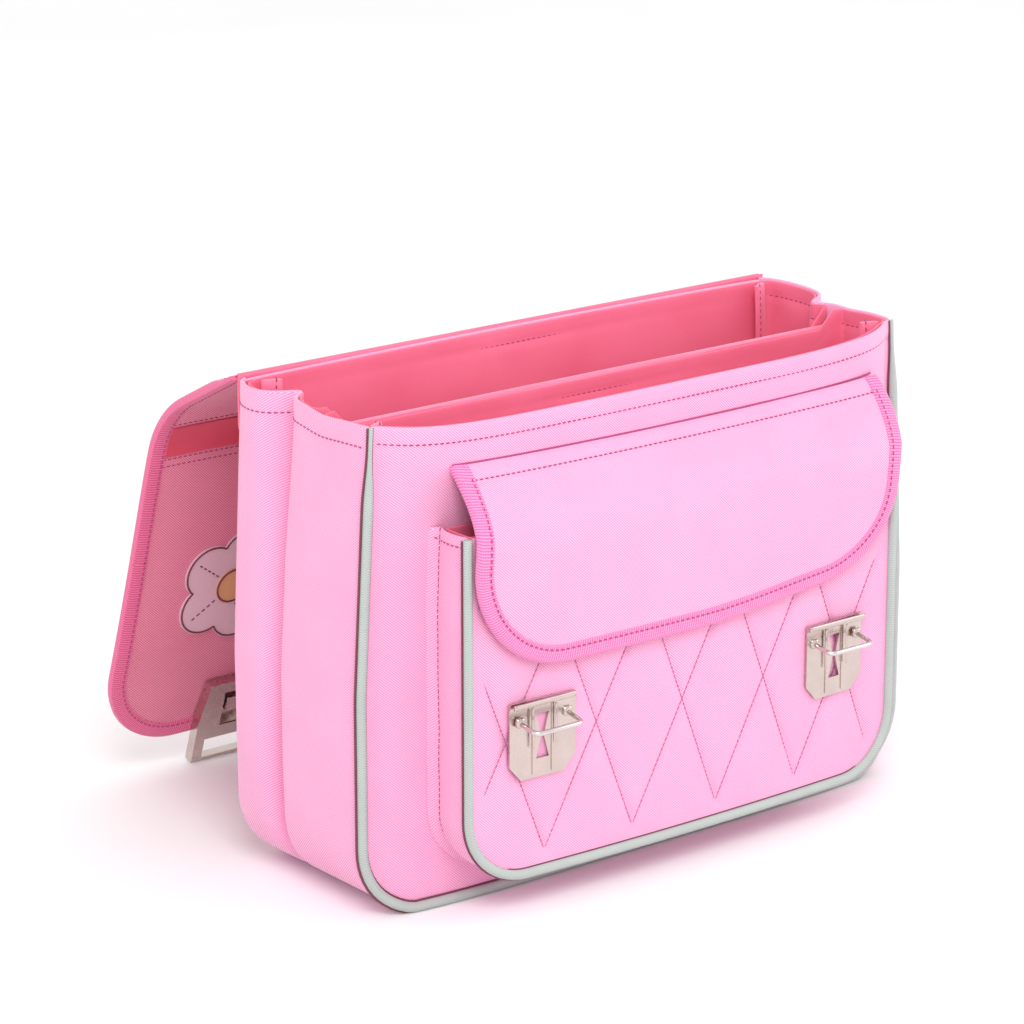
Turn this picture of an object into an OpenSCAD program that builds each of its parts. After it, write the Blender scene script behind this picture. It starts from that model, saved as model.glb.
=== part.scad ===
// Two-compartment school satchel with a front pocket, shown with its main flap folded back.
// Origin: centre of the base, on the floor. +X across the front, -Y towards the front, +Z up.

/* [Bag] */
// Width of the bag at its base
bag_w = 370; // [340:1:400]
// Width of the bag at the mouth
mouth_w = 354; // [330:1:366]
// Height of the bag from the floor to the rim
bag_h = 262; // [250:1:270]
// Distance from the centre to the front panel's edges
front_reach = 56; // [52:1:60]
// Distance from the centre to the outside of the back panel
back_reach = 52; // [48:1:53]
// How far the front panel bellies out between its edges
front_belly = 12; // [6:1:14]
// Radius of the bag's lower corners
corner_r = 40; // [30:1:50]
// Thickness of the padded outer fabric
wall = 3; // [2:0.5:3.5]
// Thickness of the lining
lining_t = 1; // [0.6:0.1:1.2]

/* [Divider] */
// Where the divider stands, from the centre
divider_y = -14; // [-20:1:0]
// Height of the divider's top edge
divider_h = 250; // [230:1:256]

/* [Front pocket] */
// Width of the front pocket
pocket_w = 288; // [260:1:300]
// Height of the pocket's lower edge
pocket_low = 22; // [16:1:30]
// Height of the pocket's mouth
pocket_high = 205; // [190:1:208]
// Distance from the centre to the pocket front's edges
pocket_reach = 94; // [90:1:96]
// How far the pocket front bellies out
pocket_belly = 5; // [3:1:6]
// Radius of the pocket's lower corners
pocket_r = 35; // [25:1:45]

/* [Pocket flap] */
// Width of the pocket flap
pocket_flap_w = 286; // [260:1:290]
// Height of the pocket flap's lower edge
pocket_flap_low = 132; // [128:1:145]
// Radius of the pocket flap's lower corners
pocket_flap_r = 56; // [40:1:60]
// Width of the webbing that binds both flaps
binding_w = 9; // [7:0.5:11]

/* [Main flap] */
// Width of the main flap
flap_w = 364; // [340:1:368]
// Length of the main flap from its hinge to its edge
flap_l = 296; // [290:1:298]
// Radius of the main flap's free corners
flap_r = 50; // [30:1:60]
// Slope of the flap where it leaves the bag
flap_start = -27; // [-30:0.5:-24]
// Slope of the hanging part of the flap
flap_hang = -71.4; // [-75:0.1:-70]
// Radius of the bend between them
flap_bend_r = 60; // [50:1:62]

/* [Locks] */
// Distance of each lock from the middle
lock_x = 100; // [90:1:110]
// Height of the centre of each lock plate
lock_z = 94; // [92:1:96]
// Width of a lock plate
plate_w = 41; // [36:1:44]
// Height of a lock plate
plate_h = 42; // [38:1:46]
// How far each loop stands out from its plate
loop_reach = 16; // [15.5:0.1:16.5]
// Thickness of the loop's rod
rod = 2.5; // [2:0.1:3]

/* [Handle] */
// Distance between the handle's two legs
handle_w = 84; // [70:1:90]
// How far the handle hangs below its pivot
handle_drop = 45; // [35:1:48]

/* [Shoulder straps] */
// Distance of each shoulder strap from the middle
strap_x = 84; // [80:1:110]
// Width of the padded part of a strap
strap_w = 55; // [45:1:60]
// Width of the webbing
webbing_w = 25; // [20:1:30]

/* [Hidden] */

$fn = 48;
side = [["left", -1], ["right", 1]];
pink = "#f5bddd";
coral = "#fb7594";
hot_pink = "#ec93be";
grey = "#ced3cf";
nickel = "#d0c4bd";
tan_pink = "#e9cfd8";

// Bag
front_y = -front_reach;
back_y = back_reach;
belly_half = mouth_w / 2 - 5;
taper_z = 120;
board_z = 5.5;
past = 200;

// Main flap: lengths along it to each fold line, and the gap left at each fold
fold = [0, 12, 76, 136, 204];
fold_gap = 1.8;
hinge_y = back_y + 2;
hinge_z = bag_h + 2.5;
flap_straight = 53;
flap_arc = flap_bend_r * (flap_start - flap_hang) * PI / 180;
flap_half_t = 1.6;
binding_half_t = 2.1;

// Locks
plate_t = 1.2;
loop_z = lock_z + 10.5;
case_low = 313.5;
case_high = 262;
case_t = 6;
case_back = 2.5;

// Handle
handle_s = 40;
handle_d = 9;
handle_bar = 3;

// Shoulder straps
strap_sag = 36;
strap_half = 95;
strap_mid_z = 135;
strap_t = 8;
strap_arc_r = (strap_half * strap_half + strap_sag * strap_sag) / (2 * strap_sag);
strap_cy = back_y + 9 + strap_sag - strap_arc_r;

// The front panel's outside face: nearly flat, turning in towards its edges
function front_face(x) = front_y - front_belly * (1 - pow(min(1, abs(x) / belly_half), 6));
function pocket_face(x) =
    -pocket_reach - pocket_belly * (1 - pow(min(1, abs(x) / (pocket_w / 2)), 2));
function plan_x() = [for (i = [-20:20]) i * past / 20];

// The main flap's middle surface in the YZ plane: straight, a bend, then straight again
function flap_slope(s) = s <= flap_straight ? flap_start
    : s >= flap_straight + flap_arc ? flap_hang
    : flap_start - (s - flap_straight) / flap_bend_r * 180 / PI;
function bend_centre() = [hinge_y + flap_straight * cos(flap_start)
    + flap_bend_r * sin(flap_start), hinge_z + flap_straight * sin(flap_start)
    - flap_bend_r * cos(flap_start)];
function flap_mid(s) = s <= flap_straight
    ? [hinge_y + s * cos(flap_start), hinge_z + s * sin(flap_start)]
    : bend_centre() + flap_bend_r * [-sin(flap_slope(s)), cos(flap_slope(s))]
        + max(0, s - flap_straight - flap_arc) * [cos(flap_hang), sin(flap_hang)];
// A point at length s along the flap, d off its middle on the outer side
function flap_at(s, d) = flap_mid(s) + d * [sin(flap_slope(s)), -cos(flap_slope(s))];

// ---- helpers ----

// Front outline of the bag, drawn in by i, with its top at z = top
module bag_outline(i = 0, top = bag_h) {
    half = bag_w / 2;
    half_top = mouth_w / 2;
    polygon([[i - half, corner_r], [half - i, corner_r], [half - i, taper_z],
        [half_top - i, top], [i - half_top, top], [i - half, taper_z]]);
    translate([corner_r - half, i]) square([bag_w - 2 * corner_r, corner_r]);
    for (m = [-1, 1])
        translate([m * (half - corner_r), corner_r]) circle(corner_r - i);
}

// Front outline of the pocket, drawn in by i
module pocket_outline(i = 0, top = pocket_high) {
    half = pocket_w / 2;
    translate([i - half, pocket_low + pocket_r])
        square([pocket_w - 2 * i, top - pocket_low - pocket_r]);
    translate([pocket_r - half, pocket_low + i])
        square([pocket_w - 2 * pocket_r, pocket_r]);
    for (m = [-1, 1])
        translate([m * (half - pocket_r), pocket_low + pocket_r]) circle(pocket_r - i);
}

// A flap's outline in x and length: square at s0, round corners of radius r at s1
module tongue(half, s0, s1, r) {
    translate([-half, s0]) square([2 * half, s1 - s0 - r]);
    translate([r - half, s0]) square([2 * (half - r), s1 - s0]);
    for (m = [-1, 1])
        intersection() {
            translate([m * (half - r), s1 - r]) circle(r);
            translate([-half, s0]) square([2 * half, s1 - s0]);
        }
}

// Stands a front outline up and gives it depth along Y, from y0 back to y1
module upright(y0, y1) {
    translate([0, y1, 0]) rotate([90, 0, 0]) linear_extrude(y1 - y0) children();
}

// Plan band of everything between front edge points and back edge points
module plan(front, back, h = bag_h + 20) {
    translate([0, 0, -10]) linear_extrude(h)
        polygon(concat(front, [for (i = [len(back) - 1:-1:0]) back[i]]));
}
function along_front(d) = [for (x = plan_x()) [x, front_face(x) + d]];
function along_pocket(d) = [for (x = plan_x()) [x, pocket_face(x) + d]];
function along_line(y) = [for (x = plan_x()) [x, y]];

// A YZ profile extruded across the bag
module across(half) {
    translate([-half, 0, 0]) rotate([90, 0, 90]) linear_extrude(2 * half) children();
}

// Profile of a stretch of the main flap between two heights off its middle
module flap_profile(s0, s1, d0, d1) {
    steps = max(1, ceil((s1 - s0) / 6));
    s = [for (i = [0:steps]) s0 + (s1 - s0) * i / steps];
    polygon(concat([for (a = s) flap_at(a, d0)], [for (i = [steps:-1:0]) flap_at(s[i], d1)]));
}

// Puts flat work on the flap at length s: y runs down the flap, -z is its outer side
module on_flap(s) {
    translate([0, flap_mid(s)[0], flap_mid(s)[1]]) rotate([flap_slope(s), 0, 0])
        translate([0, -s, 0]) children();
}

// The strap's curve behind the back, from angle a0 to a1, with thickness t
module strap_arc(a0, a1, t, w) {
    steps = ceil((a1 - a0) / 4);
    a = [for (i = [0:steps]) a0 + (a1 - a0) * i / steps];
    translate([0, strap_cy, strap_mid_z]) across(w / 2) polygon(concat(
        [for (v = a) (strap_arc_r - t / 2) * [cos(v), sin(v)]],
        [for (i = [steps:-1:0]) (strap_arc_r + t / 2) * [cos(a[i]), sin(a[i])]]));
}

// A round rod between two points, with a ball at each end
module rod_between(a, b, d) {
    v = b - a;
    l = norm(v);
    translate(a) rotate([0, acos(v[2] / l), atan2(v[1], v[0])]) cylinder(l, d = d, $fn = 24);
    translate(a) sphere(d = d, $fn = 24);
    translate(b) sphere(d = d, $fn = 24);
}

// ---- bag body ----

module board_block() {
    translate([-bag_w / 2 + corner_r, front_y + wall, wall])
        cube([bag_w - 2 * corner_r, back_y - front_y - 2 * wall, board_z - wall]);
}

module front_panel() {
    color(pink) intersection() {
        plan(along_front(0), along_front(wall));
        upright(-past, past) bag_outline();
    }
}

module back_panel() {
    color(pink) upright(back_y - wall, back_y) bag_outline();
}

module gusset(front, back) {
    color(pink) intersection() {
        plan(front, back);
        upright(-past, past) difference() {
            bag_outline();
            bag_outline(wall, bag_h + 1);
        }
    }
}
module gusset_front() { gusset(along_front(wall), along_line(divider_y)); }
module gusset_back() { gusset(along_line(divider_y), along_line(back_y - wall)); }

module base_board() {
    color("#8d8f93") board_block();
}

module divider_plate(t, i, top) {
    difference() {
        upright(divider_y - t / 2, divider_y + t / 2) intersection() {
            bag_outline(wall + i);
            translate([-past, 0]) square([2 * past, top]);
        }
        board_block();
    }
}
module divider() {
    color(coral) difference() {
        divider_plate(4, 0.05, divider_h);
        divider_plate(2, 4, divider_h - 3);
    }
}
module divider_board() {
    color("#b9a58a") divider_plate(1.8, 4.1, divider_h - 3.2);
}

module back_board() {
    color("#8d8f93") upright(back_y - wall - 2, back_y - wall - 0.05) intersection() {
        bag_outline(wall + 8, bag_h);
        translate([-past, board_z]) square([2 * past, 240]);
    }
}

module lining(front, back, front_in, back_in) {
    color(coral) difference() {
        intersection() {
            plan(front, back);
            upright(-past, past) bag_outline(wall + 0.05);
        }
        intersection() {
            plan(front_in, back_in);
            translate([0, 0, board_z + lining_t - wall - 0.05])
                upright(-past, past) bag_outline(wall + lining_t, bag_h + 20);
        }
        board_block();
    }
}
module front_lining() {
    lining(along_front(wall + 0.05), along_line(divider_y - 2.05),
        along_front(wall + lining_t), along_line(divider_y - 2 - lining_t));
}
module rear_lining() {
    lining(along_line(divider_y + 2.05), along_line(back_y - wall - 2.05),
        along_line(divider_y + 2 + lining_t), along_line(back_y - wall - 2 - lining_t));
}

module front_piping() {
    color(grey) intersection() {
        plan(along_front(-4), along_front(-0.05));
        upright(-past, past) difference() {
            bag_outline();
            bag_outline(5, bag_h + 1);
        }
    }
}

module back_pad() {
    color(pink) upright(back_y + 0.05, back_y + 8) difference() {
        translate([-150, 56]) square([300, 158]);
        for (m = [-1, 1], z = [56, 214])
            translate([m * 150, z]) rotate(45) square(30, center = true);
    }
}

module flap_seam_strip() {
    color(pink) translate([-flap_w / 2 + 6, back_y + 0.05, bag_h - 26])
        cube([flap_w - 12, 1.5, 26]);
}

// ---- front pocket ----

module pocket_front() {
    color(pink) intersection() {
        plan(along_pocket(0), along_pocket(wall));
        upright(-past, past) pocket_outline();
    }
}

module pocket_gusset() {
    color(pink) intersection() {
        plan(along_pocket(wall), along_front(-0.05));
        upright(-past, past) difference() {
            pocket_outline();
            pocket_outline(2.5, pocket_high + 1);
        }
    }
}

module pocket_lining() {
    color(coral) difference() {
        intersection() {
            plan(along_pocket(wall + 0.05), along_front(-0.05));
            upright(-past, past) pocket_outline(2.55);
        }
        intersection() {
            plan(along_pocket(wall + lining_t), along_front(-lining_t));
            upright(-past, past) pocket_outline(2.5 + lining_t, pocket_high + 1);
        }
    }
}

module pocket_piping() {
    color(grey) intersection() {
        plan(along_pocket(-3), along_pocket(-0.05));
        upright(-past, past) difference() {
            pocket_outline(-1.5);
            pocket_outline(3.5, pocket_high + 1);
        }
    }
}

module pocket_loop_patch() {
    color(hot_pink) intersection() {
        plan(along_pocket(-1), along_pocket(-0.05));
        translate([-30, -past, 150]) cube([60, past, 22]);
    }
}

// The pocket flap's side view: out over the pocket's mouth, then down its front
pocket_flap_y = -pocket_reach - pocket_belly - 3.2;
module pocket_flap_profile(t) {
    top = [front_face(0) - 5.5, 241];
    edge = [pocket_flap_y, pocket_high + 1];
    low = [pocket_flap_y, pocket_flap_low];
    polygon([top + [-t, t / 2], edge + [-t, t / 2], low - [t, 0], low + [t, 0], edge + [t, -t / 2],
        top + [t, -t / 2]]);
}
module pocket_flap_outline(i) {
    translate([0, 245]) mirror([0, 1])
        tongue(pocket_flap_w / 2 - i, i > 0 ? -20 : 0, 245 - pocket_flap_low - i, pocket_flap_r - i);
}
module pocket_flap() {
    color(pink) intersection() {
        across(past) pocket_flap_profile(1);
        upright(-past, 0) pocket_flap_outline(binding_w / 2 + 0.05);
    }
}
module pocket_flap_binding() {
    color(hot_pink) intersection() {
        across(past) pocket_flap_profile(1.4);
        upright(-past, 0) difference() {
            pocket_flap_outline(0);
            pocket_flap_outline(binding_w / 2);
        }
    }
}
module pocket_hook_patch() {
    color(hot_pink)
        translate([-30, pocket_flap_y + 1.05, 150]) cube([60, 0.35, 22]);
}

// ---- lower locks ----

module at_lock(m) {
    turn = atan(2 * pocket_belly * lock_x / pow(pocket_w / 2, 2));
    translate([m * lock_x, pocket_face(lock_x) - 0.3, lock_z]) rotate([90, 0, m * turn])
        children();
}

module plate_outline() {
    w = plate_w / 2;
    h = plate_h / 2;
    polygon([[-w, h], [w, h], [w, 8 - h], [w - 7, -h], [7 - w, -h], [-w, 8 - h]]);
}

module lock_plate(m) {
    color(nickel) at_lock(m) difference() {
        union() {
            linear_extrude(plate_t) plate_outline();
            translate([-plate_w / 2, plate_h / 2 - 3, 0]) cube([plate_w, 3, 2]);
            for (x = [-6, 6])
                translate([x - 0.6, -plate_h / 2 + 2, 0]) cube([1.2, plate_h - 6, plate_t + 0.5]);
        }
        translate([0, 0, -1]) linear_extrude(5)
            polygon([[-4, 13], [4, 13], [0.8, 1], [4, -11], [-4, -11], [-0.8, 1]]);
        for (x = [-15.5, 15.5])
            translate([x - 2, 9.2, -1]) cube([4, 3.6, 5]);
    }
}

// A U of square rod, standing out of the plate's two slots and drooping a little
module lock_loop(m) {
    root = 0.3;
    tip = loop_reach;
    droop = 10;
    color(nickel) at_lock(m) translate([0, 11 + rod / 2, 0]) rotate([90 + droop, 0, 0])
        linear_extrude(rod) polygon([[-16.5, root], [-15.3, tip], [15.3, tip], [16.5, root],
            [16.5 - rod, root], [15.5 - rod, tip - rod], [rod - 15.5, tip - rod],
            [rod - 16.5, root]]);
}

module lock_backing(m) {
    color(nickel) at_lock(m) translate([-plate_w / 2 + 2, -plate_h / 2 + 2, -6.2])
        cube([plate_w - 4, plate_h - 4, 1]);
}

// ---- shoulder straps ----

module strap(m) {
    color(pink) translate([m * strap_x, 0, 0]) strap_arc(-8, 43.8, strap_t, strap_w);
}
module strap_webbing(m) {
    color(hot_pink) translate([m * strap_x, 0, 0]) strap_arc(-44.3, -8.1, 1.6, webbing_w);
}
module strap_adjuster(m) {
    color("#d9d9dc") translate([m * strap_x, strap_cy, strap_mid_z]) rotate([-16, 0, 0])
        translate([0, strap_arc_r, 0]) difference() {
            cube([webbing_w + 10, 6, 20], center = true);
            cube([webbing_w + 1.5, 3, 30], center = true);
        }
}
module strap_anchor(m) {
    color(pink) translate([m * strap_x - webbing_w / 2 - 4, back_y + 0.05, 20])
        cube([webbing_w + 8, 2.6, 28]);
}

// ---- main flap ----

module flap_sheet(s0, s1, inset) {
    across(flap_w / 2 - inset) flap_profile(s0, s1, -flap_half_t, flap_half_t);
}
module flap_side_binding(s0, s1) {
    for (m = [-1, 1])
        translate([m * (flap_w / 2 - binding_w / 4), 0, 0])
            across(binding_w / 4) flap_profile(s0, s1, -binding_half_t, binding_half_t);
}

module flap_hinge_strip() {
    color(pink) flap_sheet(3, fold[1] - fold_gap, 6);
}
module flap_yoke() {
    color(pink) flap_sheet(fold[1] + fold_gap, fold[2] - fold_gap, binding_w / 2 + 0.05);
}
module flap_yoke_binding() {
    color(hot_pink) flap_side_binding(fold[1] + fold_gap, fold[2] - fold_gap);
}
module flap_bridge() {
    color(pink) flap_sheet(fold[2] + fold_gap, fold[3] - fold_gap, binding_w / 2 + 0.05);
}
module flap_band() {
    color(coral) across(flap_w / 2 - binding_w / 2 - 0.1)
        flap_profile(84, 104, flap_half_t + 0.05, flap_half_t + 0.7);
}
module flap_bridge_binding() {
    color(hot_pink) flap_side_binding(fold[2] + fold_gap, fold[3] - fold_gap);
}
module flap_panel_upper() {
    color(pink) flap_sheet(fold[3] + fold_gap, fold[4] - fold_gap, binding_w / 2 + 0.05);
}
module flap_binding_upper() {
    color(hot_pink) flap_side_binding(fold[3] + fold_gap, fold[4] - fold_gap);
}

// A flat piece of the hanging part, d0 to d1 off the middle on the outer side
module flap_plate(d0, d1) {
    on_flap(fold[4]) translate([0, 0, -d1]) linear_extrude(d1 - d0) children();
}
module lower_outline(i) {
    tongue(flap_w / 2 - i, fold[4] + fold_gap, flap_l - i, flap_r - i);
}
module flap_panel_lower() {
    color(pink) flap_plate(-flap_half_t, flap_half_t) lower_outline(binding_w / 2 + 0.05);
}
module flap_binding_lower() {
    color(hot_pink) flap_plate(-binding_half_t, binding_half_t) difference() {
        lower_outline(0);
        translate([0, -10]) lower_outline(binding_w / 2);
        lower_outline(binding_w / 2);
    }
}

// Sewn-on patch: a plain five-petal flower, centred on the upper side of the last fold
module flower() {
    translate([-112, 198]) for (a = [0:72:288])
        rotate(a) {
            translate([0, 20]) circle(16.5);
            circle(16);
        }
}
module flap_patch_upper() {
    color(tan_pink) flap_plate(flap_half_t + 0.05, flap_half_t + 0.9) intersection() {
        flower();
        translate([-past, fold[3] + fold_gap])
            square([past, fold[4] - fold[3] - 2 * fold_gap]);
    }
}
module flap_patch_lower() {
    color(tan_pink) flap_plate(flap_half_t + 0.05, flap_half_t + 0.9) intersection() {
        flower();
        translate([-past, fold[4] + fold_gap]) square([past, 60]);
    }
}

// ---- upper locks ----

module on_case(m) {
    on_flap(fold[4]) translate([m * lock_x, 0, -case_back]) mirror([0, 0, 1]) children();
}
module case_outline(i) {
    polygon([[i - 17, case_high + i], [17 - i, case_high + i], [21.5 - i, 288],
        [21.5 - i, case_low - i], [i - 21.5, case_low - i], [i - 21.5, 288]]);
}
module lock_case(m) {
    color(nickel) on_case(m) difference() {
        linear_extrude(case_t) case_outline(0);
        translate([0, 0, -1]) linear_extrude(case_t) case_outline(1.2);
        translate([-15, 299, 0]) cube([30, 12.4, 20]);
        translate([-6.5, 269, 0]) cube([13, 22, 20]);
    }
}
module lock_case_rivets() {
    color(nickel) for (m = [-1, 1], x = [-12, 12])
        on_case(m) translate([x, 267.5, -5.3]) cylinder(5.3 + case_t - 1.1, d = 3, $fn = 24);
}
module lock_bolt(m) {
    color(nickel) on_case(m) {
        translate([-9, 272, 0.3]) cube([18, 30, 1]);
        translate([-5.5, 271, 0.3]) cube([11, 9, 8]);
    }
}
module bolt_spring(m) {
    color(nickel) on_case(m) difference() {
        translate([9.3, 272, 0.4]) cube([2.4, 24, 1.6]);
        translate([9.9, 272.8, -1]) cube([3, 22.4, 4]);
    }
}

// ---- handle ----

module at_handle() {
    p = flap_at(handle_s, handle_d);
    translate([0, p[0], p[1]]) children();
}
module handle_tabs() {
    color(hot_pink) for (m = [-1, 1])
        on_flap(handle_s) translate([m * handle_w / 2, handle_s, 0]) difference() {
            union() {
                translate([-9, -3.6, -handle_d])
                    cube([18, 7.2, handle_d - flap_half_t - 0.05]);
                translate([-9, -14, -flap_half_t - 2.2]) cube([18, 28, 2.15]);
                translate([-9, 0, -handle_d]) rotate([0, 90, 0]) cylinder(18, r = 3.6);
            }
            translate([-12, 0, -handle_d]) rotate([0, 90, 0]) cylinder(24, d = handle_bar + 0.8);
        }
}
module handle_rings() {
    color(nickel) at_handle() for (m = [-1, 1]) translate([m * handle_w / 2, 0, 0]) {
        rod_between([-11.5, 0, 0], [11.5, 0, 0], handle_bar);
        rod_between([-11.5, 0, 0], [-11.5, 0, -13], handle_bar);
        rod_between([11.5, 0, 0], [11.5, 0, -13], handle_bar);
        rod_between([-11.5, 0, -13], [11.5, 0, -13], handle_bar);
    }
}
module handle_grip() {
    r = 14;
    leg = handle_drop - r - 9;
    color(hot_pink) at_handle() difference() {
        union() {
            for (m = [-1, 1]) {
                translate([m * handle_w / 2, 0, -9 - leg]) cylinder(leg, d = 11);
                translate([m * (handle_w / 2 - r), 0, -9 - leg]) rotate([90, 0, 0])
                    rotate([0, 0, m > 0 ? 270 : 180]) rotate_extrude(angle = 90)
                        translate([r, 0]) circle(d = 11);
            }
            translate([r - handle_w / 2, 0, -9 - leg - r]) rotate([0, 90, 0])
                cylinder(handle_w - 2 * r, d = 13);
        }
        for (m = [-1, 1])
            translate([m * handle_w / 2 - 15, 0, -13]) rotate([0, 90, 0])
                cylinder(30, d = handle_bar + 0.02, $fn = 24);
    }
}

front_panel();
back_panel();
gusset_front();
gusset_back();
base_board();
divider();
divider_board();
back_board();
back_pad();
front_lining();
rear_lining();
front_piping();
pocket_front();
pocket_gusset();
pocket_lining();
pocket_piping();
pocket_loop_patch();
for (s = side) {
    lock_plate(s[1]);
    lock_loop(s[1]);
    lock_backing(s[1]);
    strap(s[1]);
    strap_webbing(s[1]);
    strap_adjuster(s[1]);
    strap_anchor(s[1]);
    lock_case(s[1]);
    lock_bolt(s[1]);
    bolt_spring(s[1]);
}
flap_seam_strip();
pocket_flap();
pocket_flap_binding();
pocket_hook_patch();
flap_hinge_strip();
flap_yoke();
flap_yoke_binding();
handle_tabs();
flap_bridge();
flap_band();
flap_bridge_binding();
flap_panel_upper();
flap_binding_upper();
flap_patch_upper();
flap_panel_lower();
flap_binding_lower();
flap_patch_lower();
lock_case_rivets();
handle_rings();
handle_grip();
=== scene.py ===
"""Looks of the two-compartment school satchel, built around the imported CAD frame.

Lengths in this script are millimetres, in the CAD frame; pieces are written out in metres.
+X runs across the front, -Y towards the front pocket, +Z up, with the floor at z = 0.
"""
import math

import bmesh
import bpy
import numpy as np
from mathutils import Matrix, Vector, noise


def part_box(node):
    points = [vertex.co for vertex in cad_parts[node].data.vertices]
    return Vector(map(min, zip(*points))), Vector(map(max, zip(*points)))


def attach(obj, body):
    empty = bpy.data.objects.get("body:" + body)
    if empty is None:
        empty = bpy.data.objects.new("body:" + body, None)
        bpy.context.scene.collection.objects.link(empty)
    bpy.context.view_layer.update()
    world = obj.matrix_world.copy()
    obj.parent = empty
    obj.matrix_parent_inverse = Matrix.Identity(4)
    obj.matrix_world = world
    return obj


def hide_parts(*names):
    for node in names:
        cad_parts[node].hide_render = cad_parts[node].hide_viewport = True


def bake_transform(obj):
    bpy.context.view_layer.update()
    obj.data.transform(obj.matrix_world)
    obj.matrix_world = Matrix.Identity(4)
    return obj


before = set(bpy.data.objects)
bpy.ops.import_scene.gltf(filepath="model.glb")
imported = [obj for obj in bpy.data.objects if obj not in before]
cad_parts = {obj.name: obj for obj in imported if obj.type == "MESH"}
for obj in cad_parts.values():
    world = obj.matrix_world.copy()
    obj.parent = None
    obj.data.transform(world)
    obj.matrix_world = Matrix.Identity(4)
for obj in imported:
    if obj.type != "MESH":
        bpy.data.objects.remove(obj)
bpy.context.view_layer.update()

MM = 0.001
MERGE, SHARP = 2e-6, 50
SIDES = (("left", -1), ("right", 1))

# Bag
HALF_BASE, HALF_MOUTH, TAPER_Z, RIM_Z = 185.0, 177.0, 120.0, 262.0
RIM_HALF, SIDE_RIM_Z = 172.0, 259.5
CORNER_R = 40.0
FRONT_Y, BACK_Y = -56.0, 52.0
WALL = 2.0
EDGE_LIFT = 1.3  # a panel's edge stops this far inside the outline, and its round rim fills the rest
PINCH_LEFT, PINCH_RIGHT = 15.0, -3.0
DIVIDER_Y, DIVIDER_TOP = -14.0, 250.5
HEM = 8.0
# Front pocket
POCKET_HALF, POCKET_LOW, POCKET_R, POCKET_TOP = 144.0, 22.0, 35.0, 205.0
POCKET_EDGE_Y, POCKET_BELLY = -94.0, 5.0
QUILT_STEP, QUILT_X, QUILT_Z = 57.0, -96.0, 31.0
QUILT_SLOPES = (0.53, -0.385)
# Pocket flap
POCKET_FLAP_HALF, POCKET_FLAP_R = 143.0, 56.0
POCKET_FLAP_LONG, POCKET_FLAP_SHIFT = 112.5, 8.2
# Main flap
HINGE = np.array([54.0, 264.5])
FLAP_HALF, FLAP_LONG, FLAP_R = 182.0, 296.0, 50.0
FLAP_START, FLAP_HANG, FLAP_BEND = math.radians(-27), math.radians(-71.4), 60.0
FLAP_STRAIGHT = 53.0
FLAP_ARC = FLAP_BEND * (FLAP_START - FLAP_HANG)
FLAP_T = 3.0
BINDING = 9.0


# ---- small maths ----

def smooth(a, b, x):
    t = np.clip((np.asarray(x, float) - a) / (b - a), 0, 1)
    return t * t * (3 - 2 * t)


def unit(v):
    return v / np.maximum(np.linalg.norm(v, axis=-1, keepdims=True), 1e-9)


def stack(*parts):
    return np.stack(np.broadcast_arrays(*parts), -1).astype(float)


def grid_normals(p, close=False):
    du = np.gradient(p, axis=0)
    dv = (np.roll(p, -1, 1) - np.roll(p, 1, 1)) / 2 if close else np.gradient(p, axis=1)
    return unit(np.cross(du, dv))


def resample(path, step):
    """The path's points at equal spacing of about step, with the length at each."""
    path = np.asarray(path, float)
    s = lengths(path)
    n = max(2, int(round(s[-1] / step)) + 1)
    at = np.linspace(0, s[-1], n)
    return np.stack([np.interp(at, s, path[:, k]) for k in range(path.shape[1])], 1), at


def lengths(path):
    """The length along the path at each of its points."""
    steps = np.linalg.norm(np.diff(path, axis=0), axis=1)
    return np.concatenate([[0], np.cumsum(steps)])


def ripple(p, scale, seed=0.0, stretch=(1, 1, 1)):
    """Smooth noise from -1 to 1 at each point of a grid."""
    flat = p.reshape(-1, 3) * np.array(stretch) / scale
    values = [noise.noise(Vector((a + seed, b - seed, c + 2 * seed))) for a, b, c in flat]
    return np.array(values).reshape(p.shape[:-1])


def mirrored(half, signs=(-1, 1)):
    """Half an outline, followed by its mirror image in x."""
    return np.concatenate([half, half[-2::-1] * signs])


def hanging_edge(half_width, length, r, start):
    """A flap's edge: down its left side from start, round the lower corners and up the right side."""
    flat, low = half_width - r, length - r
    down = np.linspace(start, low, 40)
    a = np.radians(np.linspace(180, 90, 26))[1:]
    left = np.stack([-half_width + 0 * down, down], 1)
    bend = np.stack([-flat + r * np.cos(a), low + r * np.sin(a)], 1)
    base = np.stack([np.linspace(-flat, 0, 50)[1:], np.full(49, length)], 1)
    return mirrored(np.concatenate([left, bend, base]))


# ---- mesh building ----

def lap(n, m):
    """Row and column of each point round the edge of an n by m grid."""
    around = ([(i, 0) for i in range(n)] + [(n - 1, j) for j in range(1, m)]
              + [(i, m - 1) for i in range(n - 2, -1, -1)] + [(0, j) for j in range(m - 2, 0, -1)])
    return np.array(around).T


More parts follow.
